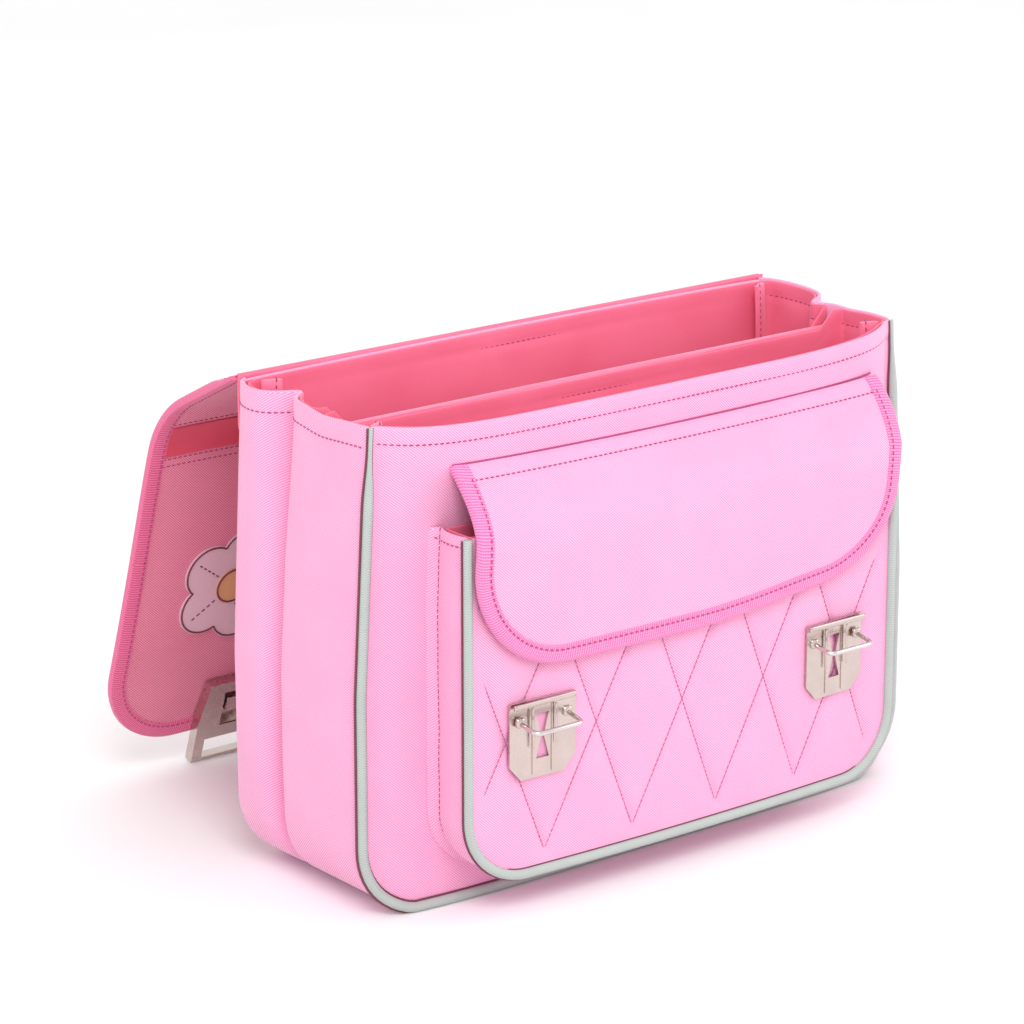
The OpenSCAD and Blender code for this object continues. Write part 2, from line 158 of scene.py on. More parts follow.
class Build:
    """Collects grids of points, in millimetres, into one mesh."""

    def __init__(self):
        self.points, self.quads, self.uvs, self.slots, self.count = [], [], [], [], 0

    def grid(self, p, uv, mat=0, close=False, flip=False):
        n, m = p.shape[:2]
        i, j = np.meshgrid(np.arange(n - 1), np.arange(m if close else m - 1), indexing="ij")
        i, j = i.ravel(), j.ravel()
        k = (j + 1) % m
        quad = np.stack([i * m + j, (i + 1) * m + j, (i + 1) * m + k, i * m + k], 1)
        corner = np.stack([uv[i, j], uv[i + 1, j], uv[i + 1, j + 1], uv[i, j + 1]], 1)
        if flip:
            quad, corner = quad[:, ::-1], corner[:, ::-1]
        self.points.append(p.reshape(-1, 3))
        self.quads.append(quad + self.count)
        self.uvs.append(corner)
        self.slots.append(np.full(len(quad), mat) if np.isscalar(mat) else mat[i, j])
        self.count += n * m

    def shell(self, p, uv, thick=WALL, mats=(0, 0, 0), flush="", close=False):
        """A sheet whose outer face is p, thick inward, with a round rim except on flush sides."""
        normal = grid_normals(p, close)
        depth = thick[..., None] if isinstance(thick, np.ndarray) else thick
        inner = p - normal * depth
        self.grid(p, uv, mats[0], close)
        self.grid(inner, uv, mats[1], close, flip=True)
        n, m = p.shape[:2]
        if close:
            for row, step, order in ((0, 1, slice(None, None, -1)), (n - 1, -1, slice(None))):
                out = unit(p[row] - p[row + step])
                edge = uv[row, order]
                self.rim(p[row, order], inner[row, order], out[order], edge, mats[2])
            return
        out = np.zeros_like(p)
        sides = {"a": (slice(None), 0, 1), "b": (-1, slice(None), -2),
                 "c": (slice(None), -1, -2), "d": (0, slice(None), 1)}
        for key, (i, j, near) in sides.items():
            if key not in flush:
                other = (i, near) if key in "ac" else (near, j)
                out[i, j] += unit(p[i, j] - p[other])
        i, j = lap(n, m)
        edge = np.concatenate([uv[i, j], uv[i[:1], j[:1]]])
        self.rim(p[i, j], inner[i, j], unit(out[i, j]), edge, mats[2])

    def rim(self, outer, inner, out, uv, mat, steps=4):
        half = np.linalg.norm(outer - inner, axis=1, keepdims=True) / 2
        middle, up = (outer + inner) / 2, (outer - inner) / 2
        angles = np.linspace(0, math.pi, steps + 1)
        rows = np.stack([middle + up * math.cos(a) + out * half * math.sin(a) for a in angles])
        if len(uv) == len(outer):
            uv = np.concatenate([uv, uv[:1]])
        flat = np.stack([uv + [0, k * 0.8] for k in range(steps + 1)])
        self.grid(rows, flat, mat, close=True)

    def tube(self, centre, a, b, profile, mat=0, scale=None):
        """A closed profile swept along centre, with a and b as its two directions."""
        centre, profile = np.asarray(centre, float), np.asarray(profile, float)
        n = len(centre)
        a, b = np.broadcast_to(a, (n, 3)), np.broadcast_to(b, (n, 3))
        size = np.ones(n) if scale is None else np.broadcast_to(scale, (n,))
        centre, a, b = (np.concatenate([v[:1], v[:1], v, v[-1:], v[-1:]]) for v in (centre, a, b))
        size = np.concatenate([[0, size[0] * 0.8], size, [size[-1] * 0.8, 0]])
        grow = 0.25 * np.abs(profile).max(0).min()
        centre[:2] += unit(centre[2] - centre[3]) * grow
        centre[-2:] += unit(centre[-3] - centre[-4]) * grow
        rows = centre[:, None] + size[:, None, None] * (
            profile[None, :, :1] * a[:, None] + profile[None, :, 1:] * b[:, None])
        ring = np.concatenate([profile, profile[:1]])
        uv = stack(lengths(centre)[:, None], lengths(ring)[None, :])
        self.grid(rows, uv, mat, close=True)

    def stitches(self, path, normals, mat=0, pitch=3.3, long=2.3, wide=0.42, lift=0.05):
        """A row of separate thread stitches along the path, lying on the surface."""
        path, normals = np.asarray(path, float), np.asarray(normals, float)
        normals = np.broadcast_to(normals, path.shape)
        both, _ = resample(path, pitch)
        s = lengths(path)
        at = np.linspace(0, s[-1], len(both))
        up = unit(np.stack([np.interp(at, s, normals[:, k]) for k in range(3)], 1))
        along = unit(np.gradient(both, axis=0))
        across = np.cross(along, up)
        t = np.array([-1, -0.82, 0, 0.82, 1])
        r = np.array([0, 0.75, 1, 0.75, 0])
        angle = np.arange(6) * math.pi / 3
        shape = np.stack([np.repeat(t[:, None], 6, 1) * long / 2,
                          r[:, None] * np.cos(angle) * wide,
                          r[:, None] * np.sin(angle) * wide * 0.8 + lift], -1)
        uv = np.zeros((5, 7, 2)) + np.arange(5)[:, None, None]
        for c, x, y, z in zip(both, along, across, up):
            rows = c + shape[..., :1] * x + shape[..., 1:2] * y + shape[..., 2:] * z
            self.grid(rows, uv, mat, close=True)

    def piece(self, name, mats, body=None, slot=None, stands_for=()):
        mesh = bpy.data.meshes.new(name)
        quads = np.concatenate(self.quads)
        mesh.from_pydata((np.concatenate(self.points) * MM).tolist(), [], quads.tolist())
        layer = mesh.uv_layers.new(name="cloth")
        layer.data.foreach_set("uv", (np.concatenate(self.uvs) * MM).ravel())
        mesh.polygons.foreach_set("material_index", np.concatenate(self.slots).astype(int))
        work = bmesh.new()
        work.from_mesh(mesh)
        bmesh.ops.remove_doubles(work, verts=work.verts, dist=MERGE)
        bmesh.ops.recalc_face_normals(work, faces=work.faces)
        work.to_mesh(mesh)
        work.free()
        mesh.polygons.foreach_set("use_smooth", np.ones(len(mesh.polygons), bool))
        mesh.set_sharp_from_angle(angle=math.radians(SHARP))
        for m in mats:
            mesh.materials.append(m)
        piece = bpy.data.objects.new(name, mesh)
        bpy.context.scene.collection.objects.link(piece)
        if body:
            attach(piece, body)
        if stands_for:
            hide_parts(*stands_for)
        return piece


def oval(w, h, sides=12, power=1.0):
    a = np.arange(sides) * 2 * math.pi / sides
    c, s = np.cos(a), np.sin(a)
    return np.stack([w * np.sign(c) * abs(c) ** power, h * np.sign(s) * abs(s) ** power], 1)


# ---- materials ----

class Paint:
    """A node material with short calls for its nodes."""

    def __init__(self, name, roughness, **fixed):
        self.mat = bpy.data.materials.new(name)
        self.mat.use_nodes = True
        self.tree = self.mat.node_tree
        self.shader = self.tree.nodes["Principled BSDF"]
        self.shader.inputs["Roughness"].default_value = roughness
        for key, value in fixed.items():
            self.shader.inputs[key.replace("_", " ")].default_value = value

    def put(self, socket, value):
        if isinstance(value, bpy.types.NodeSocket):
            self.tree.links.new(value, socket)
        else:
            socket.default_value = value

    def math(self, operation, a, b=0.0, c=0.0):
        node = self.tree.nodes.new("ShaderNodeMath")
        node.operation = operation
        for socket, value in zip(node.inputs, (a, b, c)):
            self.put(socket, value)
        return node.outputs[0]

    def cloth_uv(self):
        node = self.tree.nodes.new("ShaderNodeUVMap")
        node.uv_map = "cloth"
        split = self.tree.nodes.new("ShaderNodeSeparateXYZ")
        self.put(split.inputs[0], node.outputs[0])
        return node.outputs[0], split.outputs[0], split.outputs[1]

    def place(self):
        return self.tree.nodes.new("ShaderNodeTexCoord").outputs["Object"]

    def noise(self, vector, scale, detail=2.0):
        node = self.tree.nodes.new("ShaderNodeTexNoise")
        self.put(node.inputs["Vector"], vector)
        node.inputs["Scale"].default_value = scale
        node.inputs["Detail"].default_value = detail
        return node.outputs["Fac"]

    def span(self, value, low, high, out_low=0.0, out_high=1.0):
        node = self.tree.nodes.new("ShaderNodeMapRange")
        for socket, v in zip(node.inputs, (value, low, high, out_low, out_high)):
            self.put(socket, v)
        return node.outputs[0]

    def wave(self, u, v, u_step, v_step):
        """A sine wave from 0 to 1 over u and v in metres; a step of 0 leaves that one out."""
        turn = [self.math("MULTIPLY", x, 2 * math.pi / s) for x, s in ((u, u_step), (v, v_step)) if s]
        total = turn[0] if len(turn) == 1 else self.math("ADD", turn[0], turn[1])
        return self.math("MULTIPLY_ADD", self.math("SINE", total), 0.5, 0.5)

    def mix(self, factor, a, b, blend="MIX"):
        node = self.tree.nodes.new("ShaderNodeMix")
        node.data_type = "RGBA"
        node.blend_type = blend
        self.put(node.inputs["Factor"], factor)
        for key, value in (("A", a), ("B", b)):
            socket = [s for s in node.inputs if s.name == key and s.type == "RGBA"][0]
            self.put(socket, value if isinstance(value, bpy.types.NodeSocket) else (*value, 1))
        return [s for s in node.outputs if s.type == "RGBA"][0]

    def colour(self, value):
        self.put(self.shader.inputs["Base Color"],
                 value if isinstance(value, bpy.types.NodeSocket) else (*value, 1))

    def bump(self, height, distance, strength=1.0):
        node = self.tree.nodes.new("ShaderNodeBump")
        node.inputs["Distance"].default_value = distance
        node.inputs["Strength"].default_value = strength
        self.put(node.inputs["Height"], height)
        self.put(self.shader.inputs["Normal"], node.outputs[0])

    def rough(self, value):
        self.put(self.shader.inputs["Roughness"], value)


def twill(name, light, dark, lean=1, pitch=1.4):
    """Diagonal weave: ridges lean one way, crossed by finer threads, with uneven dye."""
    p = Paint(name, 0.82, Sheen_Weight=0.25, Sheen_Roughness=0.5, Specular_IOR_Level=0.25)
    uv, u, v = p.cloth_uv()
    ridge = p.wave(u, v, lean * pitch * MM * 1.1, pitch * MM)
    cross = p.wave(u, v, -lean * 0.62 * MM, 0.7 * MM)
    weave = p.math("ADD", p.math("MULTIPLY", ridge, 0.84), p.math("MULTIPLY", cross, 0.16))
    fibre = p.noise(uv, 2600, 1.0)
    cloud = p.noise(uv, 28, 3.0)
    height = p.math("ADD", weave, p.math("MULTIPLY", fibre, 0.25))
    base = p.mix(p.span(height, 0.15, 0.8), dark, light)
    p.colour(p.mix(p.span(cloud, 0.3, 0.7, 0.0, 0.14), base, dark))
    p.rough(p.span(height, 0.0, 1.1, 0.95, 0.68))
    p.bump(height, 0.16 * MM, 0.55)
    return p.mat


def satin(name, light, dark, roughness=0.5):
    """Smooth plain-woven lining with a soft sheen and faint creases."""
    p = Paint(name, roughness, Sheen_Weight=0.35, Sheen_Roughness=0.4, Specular_IOR_Level=0.35)
    uv, u, v = p.cloth_uv()
    weave = p.math("MULTIPLY", p.wave(u, v, 0.55 * MM, 0), p.wave(u, v, 0, 0.55 * MM))
    crease = p.noise(uv, 55, 4.0)
    cloud = p.noise(uv, 14, 2.0)
    shade = p.math("ADD", p.math("MULTIPLY", weave, 0.25), p.math("MULTIPLY", cloud, 0.9))
    p.colour(p.mix(p.span(shade, 0.25, 0.85), dark, light))
    p.rough(p.span(crease, 0.3, 0.7, roughness - 0.08, roughness + 0.12))
    height = p.math("ADD", p.math("MULTIPLY", weave, 0.1), p.math("MULTIPLY", crease, 1.6))
    p.bump(height, 0.5 * MM, 0.5)
    return p.mat


def ribbed(name, light, dark):
    """Grosgrain webbing: ribs across its length, with the yarns' fine texture."""
    p = Paint(name, 0.75, Sheen_Weight=0.3, Sheen_Roughness=0.45, Specular_IOR_Level=0.3)
    uv, u, v = p.cloth_uv()
    ribs = p.wave(u, v, 1.5 * MM, 4.5 * MM)
    yarn = p.wave(u, v, 0, 0.75 * MM)
    fibre = p.noise(uv, 2400, 1.0)
    height = p.math("ADD", p.math("MULTIPLY", ribs, 0.7),
                    p.math("ADD", p.math("MULTIPLY", yarn, 0.2), p.math("MULTIPLY", fibre, 0.2)))
    p.colour(p.mix(p.span(height, 0.15, 0.95), dark, light))
    p.rough(p.span(height, 0.1, 1.0, 0.9, 0.62))
    p.bump(height, 0.28 * MM, 0.7)
    return p.mat


def reflective(name):
    """Grey retroreflective piping with a pressed herringbone."""
    p = Paint(name, 0.42, Specular_IOR_Level=0.55)
    uv, u, v = p.cloth_uv()
    fold = p.math("ABSOLUTE", p.math("SINE", p.math("MULTIPLY", v, math.pi / (2.6 * MM))))
    slant = p.math("ADD", u, p.math("MULTIPLY", fold, 1.1 * MM))
    bone = p.wave(slant, v, 1.3 * MM, 0)
    cloud = p.noise(uv, 60, 3.0)
    base = p.mix(p.span(bone, 0.0, 1.0, 0.25, 1.0), (0.27, 0.31, 0.29), (0.52, 0.57, 0.54))
    p.colour(p.mix(p.span(cloud, 0.35, 0.7, 0.0, 0.25), base, (0.33, 0.37, 0.36)))
    p.rough(p.span(bone, 0, 1, 0.55, 0.34))
    p.bump(bone, 0.12 * MM, 0.6)
    return p.mat


def thread(name, colour):
    p = Paint(name, 0.55, Sheen_Weight=0.2, Specular_IOR_Level=0.4)
    where = p.place()
    twist = p.noise(where, 2200, 1.0)
    dark = tuple(0.6 * c for c in colour)
    p.colour(p.mix(p.span(twist, 0.3, 0.7), dark, colour))
    p.bump(twist, 0.1 * MM, 0.5)
    return p.mat


def metal(name, colour, roughness=0.24):
    """Polished nickel plate with a fine grain and rubbed spots."""
    p = Paint(name, roughness, Metallic=1.0)
    where = p.place()
    cloud = p.noise(where, 90, 3.0)
    grain = p.noise(where, 420, 3.0)
    shade = tuple(0.9 * c for c in colour)
    p.colour(p.mix(p.span(cloud, 0.3, 0.7), shade, colour))
    p.rough(p.span(p.math("ADD", cloud, p.math("MULTIPLY", grain, 0.4)), 0.4, 1.0,
                   roughness - 0.06, roughness + 0.1))
    p.bump(grain, 0.01 * MM, 0.06)
    return p.mat


def moulded(name, colour, roughness):
    """Plastic or board with a fine grain."""
    p = Paint(name, roughness, Specular_IOR_Level=0.45)
    where = p.place()
    grain = p.noise(where, 900, 3.0)
    cloud = p.noise(where, 35, 3.0)
    dark = tuple(0.78 * c for c in colour)
    p.colour(p.mix(p.span(cloud, 0.3, 0.7), dark, colour))
    p.rough(p.span(grain, 0.3, 0.7, roughness - 0.06, roughness + 0.1))
    p.bump(grain, 0.06 * MM, 0.5)
    return p.mat


PINK_LIGHT, PINK_DARK = (0.96, 0.49, 0.71), (0.72, 0.20, 0.40)
pink_down = twill("pink_twill_down", PINK_LIGHT, PINK_DARK, lean=1)
pink_up = twill("pink_twill_up", PINK_LIGHT, PINK_DARK, lean=-1)
# The flap is the same pink twill as the body; this darker, redder copy is painted shade with painted red
# bounce light from the bag.
flap_cloth_painted_shade = twill("flap_twill_painted_shade", (0.90, 0.34, 0.47), (0.55, 0.085, 0.15), lean=1)
lining_cloth = satin("coral_lining", (0.95, 0.22, 0.36), (0.80, 0.13, 0.23))
divider_cloth = satin("coral_divider", (0.97, 0.26, 0.42), (0.88, 0.17, 0.30), 0.42)
# The band is the lining's coral cloth; its darker colour here is painted shade, as the band lies on the
# shaded flap.
band_cloth_painted_shade = satin("coral_band_painted_shade", (0.80, 0.10, 0.16), (0.66, 0.06, 0.11), 0.45)
webbing = ribbed("pink_webbing", (0.93, 0.33, 0.60), (0.66, 0.12, 0.34))
# Same pink webbing as the other bindings; this deeper, redder copy for the main flap is painted shade.
flap_webbing_painted_shade = ribbed("flap_webbing_painted_shade", (0.90, 0.22, 0.42), (0.58, 0.07, 0.17))
piping = reflective("grey_piping")
# Near-black colour: painted shadow in the seams beside the piping, and the flower patch's dark embroidery
# thread.
dark_thread_and_seam_shadow = thread("seam_shadow", (0.20, 0.04, 0.07))
stitch = thread("magenta_thread", (0.50, 0.05, 0.22))
quilt_thread = thread("quilt_thread", (0.66, 0.14, 0.36))
nickel = metal("nickel", (0.64, 0.54, 0.50))
chrome = metal("chrome_wire", (0.72, 0.68, 0.66), 0.14)
board = moulded("stiffener_board", (0.30, 0.30, 0.32), 0.7)
plastic = moulded("adjuster_plastic", (0.80, 0.80, 0.83), 0.35)
patch_pink = twill("patch_petal", (0.86, 0.66, 0.70), (0.62, 0.36, 0.44), pitch=0.9)
patch_tan = twill("patch_centre", (0.86, 0.50, 0.24), (0.55, 0.26, 0.10), pitch=0.9)


# ---- the bag's shape ----

def half_width(z, inset=0.0):
    """Half the bag's width at height z, drawn in by inset."""
    z = np.asarray(z, float)
    side = HALF_BASE - inset - (HALF_BASE - HALF_MOUTH) * np.clip(
        (z - TAPER_Z) / (RIM_Z - TAPER_Z), 0, 1.02)
    r = CORNER_R - inset
    drop = np.clip(CORNER_R - z, 0, r)
    corner = HALF_BASE - CORNER_R + np.sqrt(np.maximum(r * r - drop * drop, 0))
    return np.where(z < CORNER_R, corner, side)


def rim_front(x):
    """Height of the front panel's top edge: it sags between the corners."""
    return 259.0 - 4.5 * (1 - np.minimum(1, abs(x) / RIM_HALF) ** 4)


def rim_back(x):
    return 262.7 + 1.2 * (1 - np.minimum(1, abs(x) / RIM_HALF) ** 2)


def front_y(x, z):
    """The front panel's outer face."""
    power = 6 + 4 * smooth(150, 250, z)
    belly = 7 + 5 * smooth(0, 70, z) + 3 * smooth(165, 255, z)
    return FRONT_Y - belly * (1 - np.minimum(1, abs(x) / RIM_HALF) ** power)


def rim_side(y):
    """Height of the gusset's top edge, from the front corner to the back."""
    dip = 1.5 * np.exp(-((y + 20) / 14) ** 2)
    return SIDE_RIM_Z + 2.9 * smooth(-40, 40, y) - dip


def side_bulge(y, z, m=1):
    """How far the gusset stands out of the bag's outline: two lobes with a pinch between them."""
    pinch_y = np.where(np.asarray(m) < 0, PINCH_LEFT, PINCH_RIGHT)
    front = np.clip((y - FRONT_Y) / (pinch_y - FRONT_Y), 0, 1)
    rear = np.clip((y - pinch_y) / (BACK_Y - pinch_y), 0, 1)
    lobe_f = np.sin(math.pi * front) ** 0.8
    lobe_r = np.sin(math.pi * rear ** 0.85) ** 0.7
    full = smooth(2, 75, z)
    near_top = smooth(170, 262, z)
    front_out = 3.0 * full - 1.0 * near_top
    rear_out = (6.5 + 1.5 * near_top) * full
    pinch = np.exp(-abs((y - pinch_y) / (3.2 + 2.4 * near_top)) ** 1.4)
    depth = (9.0 + 1.5 * near_top) * smooth(0, 34, z)
    wobble = 1.1 * np.sin(z / 31 + y / 17 + m) * full * np.sin(math.pi * rear)
    return lobe_f * front_out + lobe_r * rear_out - pinch * depth + wobble


def outline(step=5.0):
    """The bag's front outline from the left rim down and round to the right rim: x, z, nx, nz."""
    up = np.linspace(RIM_Z, CORNER_R, int((RIM_Z - CORNER_R) / step))
    left = np.stack([-half_width(up), up, -np.ones_like(up), np.zeros_like(up)], 1)
    a = np.radians(np.linspace(180, 270, 15))[1:]
    flat = HALF_BASE - CORNER_R
    bend = np.stack([CORNER_R * np.cos(a) - flat, CORNER_R + CORNER_R * np.sin(a),
                     np.cos(a), np.sin(a)], 1)
    x = np.linspace(-flat, 0, int(flat / step))[1:]
    base = np.stack([x, 0 * x, 0 * x, -np.ones_like(x)], 1)
    return mirrored(np.concatenate([left, bend, base]), (-1, 1, -1, 1))


ROWS = outline()
ALONG = lengths(ROWS[:, :2])
FROM_RIM = ALONG[-1] / 2 - abs(ALONG - ALONG[-1] / 2)


def gusset_points():
    """Grid of the gusset: axis 0 along the outline, axis 1 from back to front."""
    t = np.linspace(0, 1, 72)
    x, z, nx, nz = (ROWS[:, k:k + 1] for k in range(4))
    front = front_y(x, z) + 1.5
    front = np.where(z < CORNER_R, front + 1.0, front)
    y = BACK_Y - 0.5 + (front - BACK_Y + 0.5) * t[None]
    out = side_bulge(y, np.broadcast_to(z, y.shape), np.sign(x))
    edge = np.minimum(t, 1 - t)[None]
    out = out - 1.2 * (1 - smooth(0, 0.03, edge))
    lift = (rim_side(y) - RIM_Z) * smooth(200, RIM_Z, z)
    floor = np.maximum(z + nz * out + lift, 0.15)
    return stack(x + nx * out, y, floor)


def gusset():
    p = gusset_points()
    soft = ripple(p, 34, 3.1, (1, 1.6, 0.35)) * 0.9 * smooth(10, 60, p[..., 2])
    p[..., 0] += soft * np.sign(p[..., 0])
    hem = np.where(FROM_RIM < HEM, 0.35, 0.0) - 0.45 * np.exp(-((FROM_RIM - HEM) / 0.9) ** 2)
    p += grid_normals(p) * hem[:, None, None]
    uv = stack(p[..., 1], ALONG[:, None])
    b = Build()
    b.shell(p, uv)
    row = int(np.argmin(abs(FROM_RIM[:40] - HEM)))
    normal = grid_normals(p)
    for k in (row, len(p) - 1 - row):
        b.stitches(p[k, 2:-2] + normal[k, 2:-2] * 0.1, normal[k, 2:-2], 1)
    piece = b.piece("gusset", [pink_up, stitch], "root", "pink_twill", ("gusset_front", "gusset_back"))


def panel_grid(rim, nx, nz, inset):
    """x and z of a panel that fills the bag's outline: axis 0 across, axis 1 upward."""
    u = np.linspace(-1, 1, nx)[:, None]
    low = CORNER_R * (1 - np.cos(np.linspace(0, math.pi / 2, 12)))
    z = np.concatenate([low, np.linspace(CORNER_R, RIM_Z, nz - 12 + 1)[1:]])[None, :]
    z = np.maximum(z, inset)
    x = u * half_width(z, inset)
    z = z + (rim(x) - RIM_Z) * smooth(190, RIM_Z, z)
    return x, z


def hem_relief(below):
    """The folded hem stands a little proud, with a groove at its stitches."""
    return 0.5 * (1 - smooth(HEM - 1.2, HEM + 0.6, below)) - 0.5 * np.exp(-((below - HEM) / 1.0) ** 2)


def front_panel():
    x, z = panel_grid(rim_front, 140, 110, EDGE_LIFT)
    y = front_y(x, z) - hem_relief(rim_front(x) - z)
    y = y - 0.5 * ripple(stack(x, y, z), 46, 1.7, (1, 1, 0.6)) * smooth(0, 14, half_width(z) - abs(x))
    b = Build()
    b.shell(stack(x, y, z), stack(x, z))
    piece = b.piece("front_panel_cloth", [pink_down], "root", "pink_twill", ("front_panel",))


def back_panel():
    x, z = panel_grid(lambda x: rim_back(x) - EDGE_LIFT, 90, 80, EDGE_LIFT)
    p = stack(x, BACK_Y + 0.4 * smooth(0, 12, half_width(z) - abs(x)), z)
    b = Build()
    b.shell(p[::-1], stack(-x, z)[::-1], mats=(0, 1, 0))
    piece = b.piece("back_panel_cloth", [pink_down, lining_cloth], "root", "pink_twill", ("back_panel",))


def hem_stitches():
    b = Build()
    x = np.linspace(-171, 171, 160)
    z = rim_front(x) - HEM
    b.stitches(stack(x, front_y(x, z) - 0.05, z), (0, -1, 0))
    x = np.linspace(-172, 172, 120)
    b.stitches(stack(x, BACK_Y + 0.35 + 0 * x, rim_back(x) - HEM - 26), (0, 1, 0))
    b.piece("hem_stitches", [stitch], "root", "webbing")


def front_piping():
    b = Build()
    inset = 1.6
    x, z, nx, nz = ROWS.T
    lift = (SIDE_RIM_Z - RIM_Z) * smooth(200, RIM_Z, z)
    cx, cz = x - nx * inset, z - nz * inset + lift
    cz = np.maximum(cz, 2.8)
    cy = front_y(cx, cz) - 1.0
    centre = stack(cx, cy, cz)
    side = stack(nx, 0 * nx, nz)
    size = 0.42 + 0.58 * smooth(12, 42, FROM_RIM)
    b.tube(centre, side, (0, -1, 0), oval(2.75, 2.5, 14), scale=size)
    b.piece("front_piping_cord", [piping], "root", "grey_piping", ("front_piping",))
    e = Build()
    # Thin near-black cords on both sides of the piping: painted shadow in the seam, standing also for its
    # stitching.
    for off in (-3.1, 2.9):
        line = centre - side * (off * size)[:, None]
        line[:, 1] = np.where(off > 0, front_y(line[:, 0], line[:, 2]) - 0.55, line[:, 1] + 0.9)
        line[:, 2] = np.maximum(line[:, 2], 0.85)
        e.tube(line, side, (0, -1, 0), oval(0.75, 0.7, 6))
    e.piece("front_piping_seam_shadow", [dark_thread_and_seam_shadow], "root", "grey_piping")


# ---- lining ----

def liner(name, front, back, side, z_low, rim, mats, nodes, lobes=True, levels=46):
    """A compartment's lining: a closed loop round the walls, lofted from the rim to the floor."""
    f = np.linspace(-1, 1, 70)
    t = np.linspace(0, 1, 40)[1:-1]
    depth = np.concatenate([[0, 2, 4, 6, HEM, HEM + 1.5], np.linspace(14, RIM_Z - z_low, levels)])
    rows = []
    for d in depth:
        z0 = np.maximum(RIM_Z - d, z_low)
        w = side(z0)
        x1 = f * w
        y_f, y_b = front(w, z0), back(w, z0)
        ys = y_f + (y_b - y_f) * t
        right, left = (w + (side_bulge(ys, z0, m) if lobes else 0 * ys) for m in (1, -1))
        x = np.concatenate([x1, right, -x1, -left[::-1]])
        y = np.concatenate([front(x1, z0), ys, back(x1, z0), ys[::-1]])
        top = rim(x, y)
        z = top - 0.2 - d * (top - 0.2 - z_low) / (RIM_Z - z_low)
        rows.append(stack(x, y, z))
    p = np.array(rows)
    for _ in range(3):
        p[..., :2] = (np.roll(p, 1, 1) + 2 * p + np.roll(p, -1, 1))[..., :2] / 4
    crease = ripple(p, 30, 5.0, (1, 1, 0.45)) + 0.5 * ripple(p, 13, 9.0, (1, 1, 0.5))
    fade = smooth(0, 26, depth)[:, None] * smooth(0, 20, RIM_Z - z_low - depth)[:, None]
    middle = np.array([0, (p[..., 1].max() + p[..., 1].min()) / 2, 0])
    to_middle = unit((middle - p) * [1, 1, 0])
    sides = smooth(120, 172, abs(p[..., 0]))
    p += to_middle * (crease * (1.0 + 1.3 * sides) * fade + (0.9 + 0.9 * sides) * fade)[..., None]
    groove = 0.5 * np.exp(-((depth - HEM) / 1.2) ** 2)
    p -= to_middle * groove[:, None, None]
    around = lengths(np.concatenate([p[0], p[0, :1]]))
    uv = stack(around[None, :], -depth[:, None])
    b = Build()
    b.shell(p, uv, 0.8, close=True)
    last = p[-1]
    half = len(f)
    floor_f, floor_b = last[:half], last[half + len(t):2 * half + len(t)][::-1]
    k = np.linspace(0, 1, 6)[:, None, None]
    sheet = (floor_f * (1 - k) + floor_b * k).transpose(1, 0, 2)
    sheet[..., 2] = z_low + 0.2
    b.shell(sheet, sheet[..., :2].copy(), 0.7)
    piece = b.piece(name, mats, "root", "coral_lining", nodes)
    s = Build()
    row = 4
    face = p[row] + to_middle[row] * 0.8
    s.stitches(np.concatenate([face, face[:1]]), np.concatenate(
        [to_middle[row], to_middle[row, :1]]), pitch=3.6)
    s.piece(name + "_stitches", [stitch], "root", "coral_lining")


def linings():
    gap = WALL + 0.4

    def rim_all(x, y):
        blend = smooth(FRONT_Y - 16, FRONT_Y + 6, y)
        near_back = smooth(BACK_Y - 10, BACK_Y - 4, y)
        side_z = rim_side(y)
        z = rim_front(x) * (1 - blend) + side_z * blend
        return z * (1 - near_back) + rim_back(x) * near_back

    def rim_front_part(x, y):
        z = rim_all(x, y)
        inner = smooth(168, 160, abs(x)) * smooth(DIVIDER_Y - 12, DIVIDER_Y - 3, y)
        return z * (1 - inner) + (DIVIDER_TOP - 1.5) * inner

    def rim_rear_part(x, y):
        z = rim_all(x, y)
        inner = smooth(168, 160, abs(x)) * smooth(DIVIDER_Y + 12, DIVIDER_Y + 3, y)
        return z * (1 - inner) + (DIVIDER_TOP - 1.5) * inner

    liner("front_compartment_lining", lambda x, z: front_y(x, z) + gap,
          lambda x, z: 0 * x + DIVIDER_Y - 2.9, lambda z: half_width(z, gap) - 0.5, 7.0,
          rim_front_part, [lining_cloth], ("front_lining",))
    liner("rear_compartment_lining", lambda x, z: 0 * x + DIVIDER_Y + 2.9,
          lambda x, z: 0 * x + BACK_Y - 5.6, lambda z: half_width(z, gap) - 0.5, 7.0,
          rim_rear_part, [lining_cloth], ("rear_lining",))


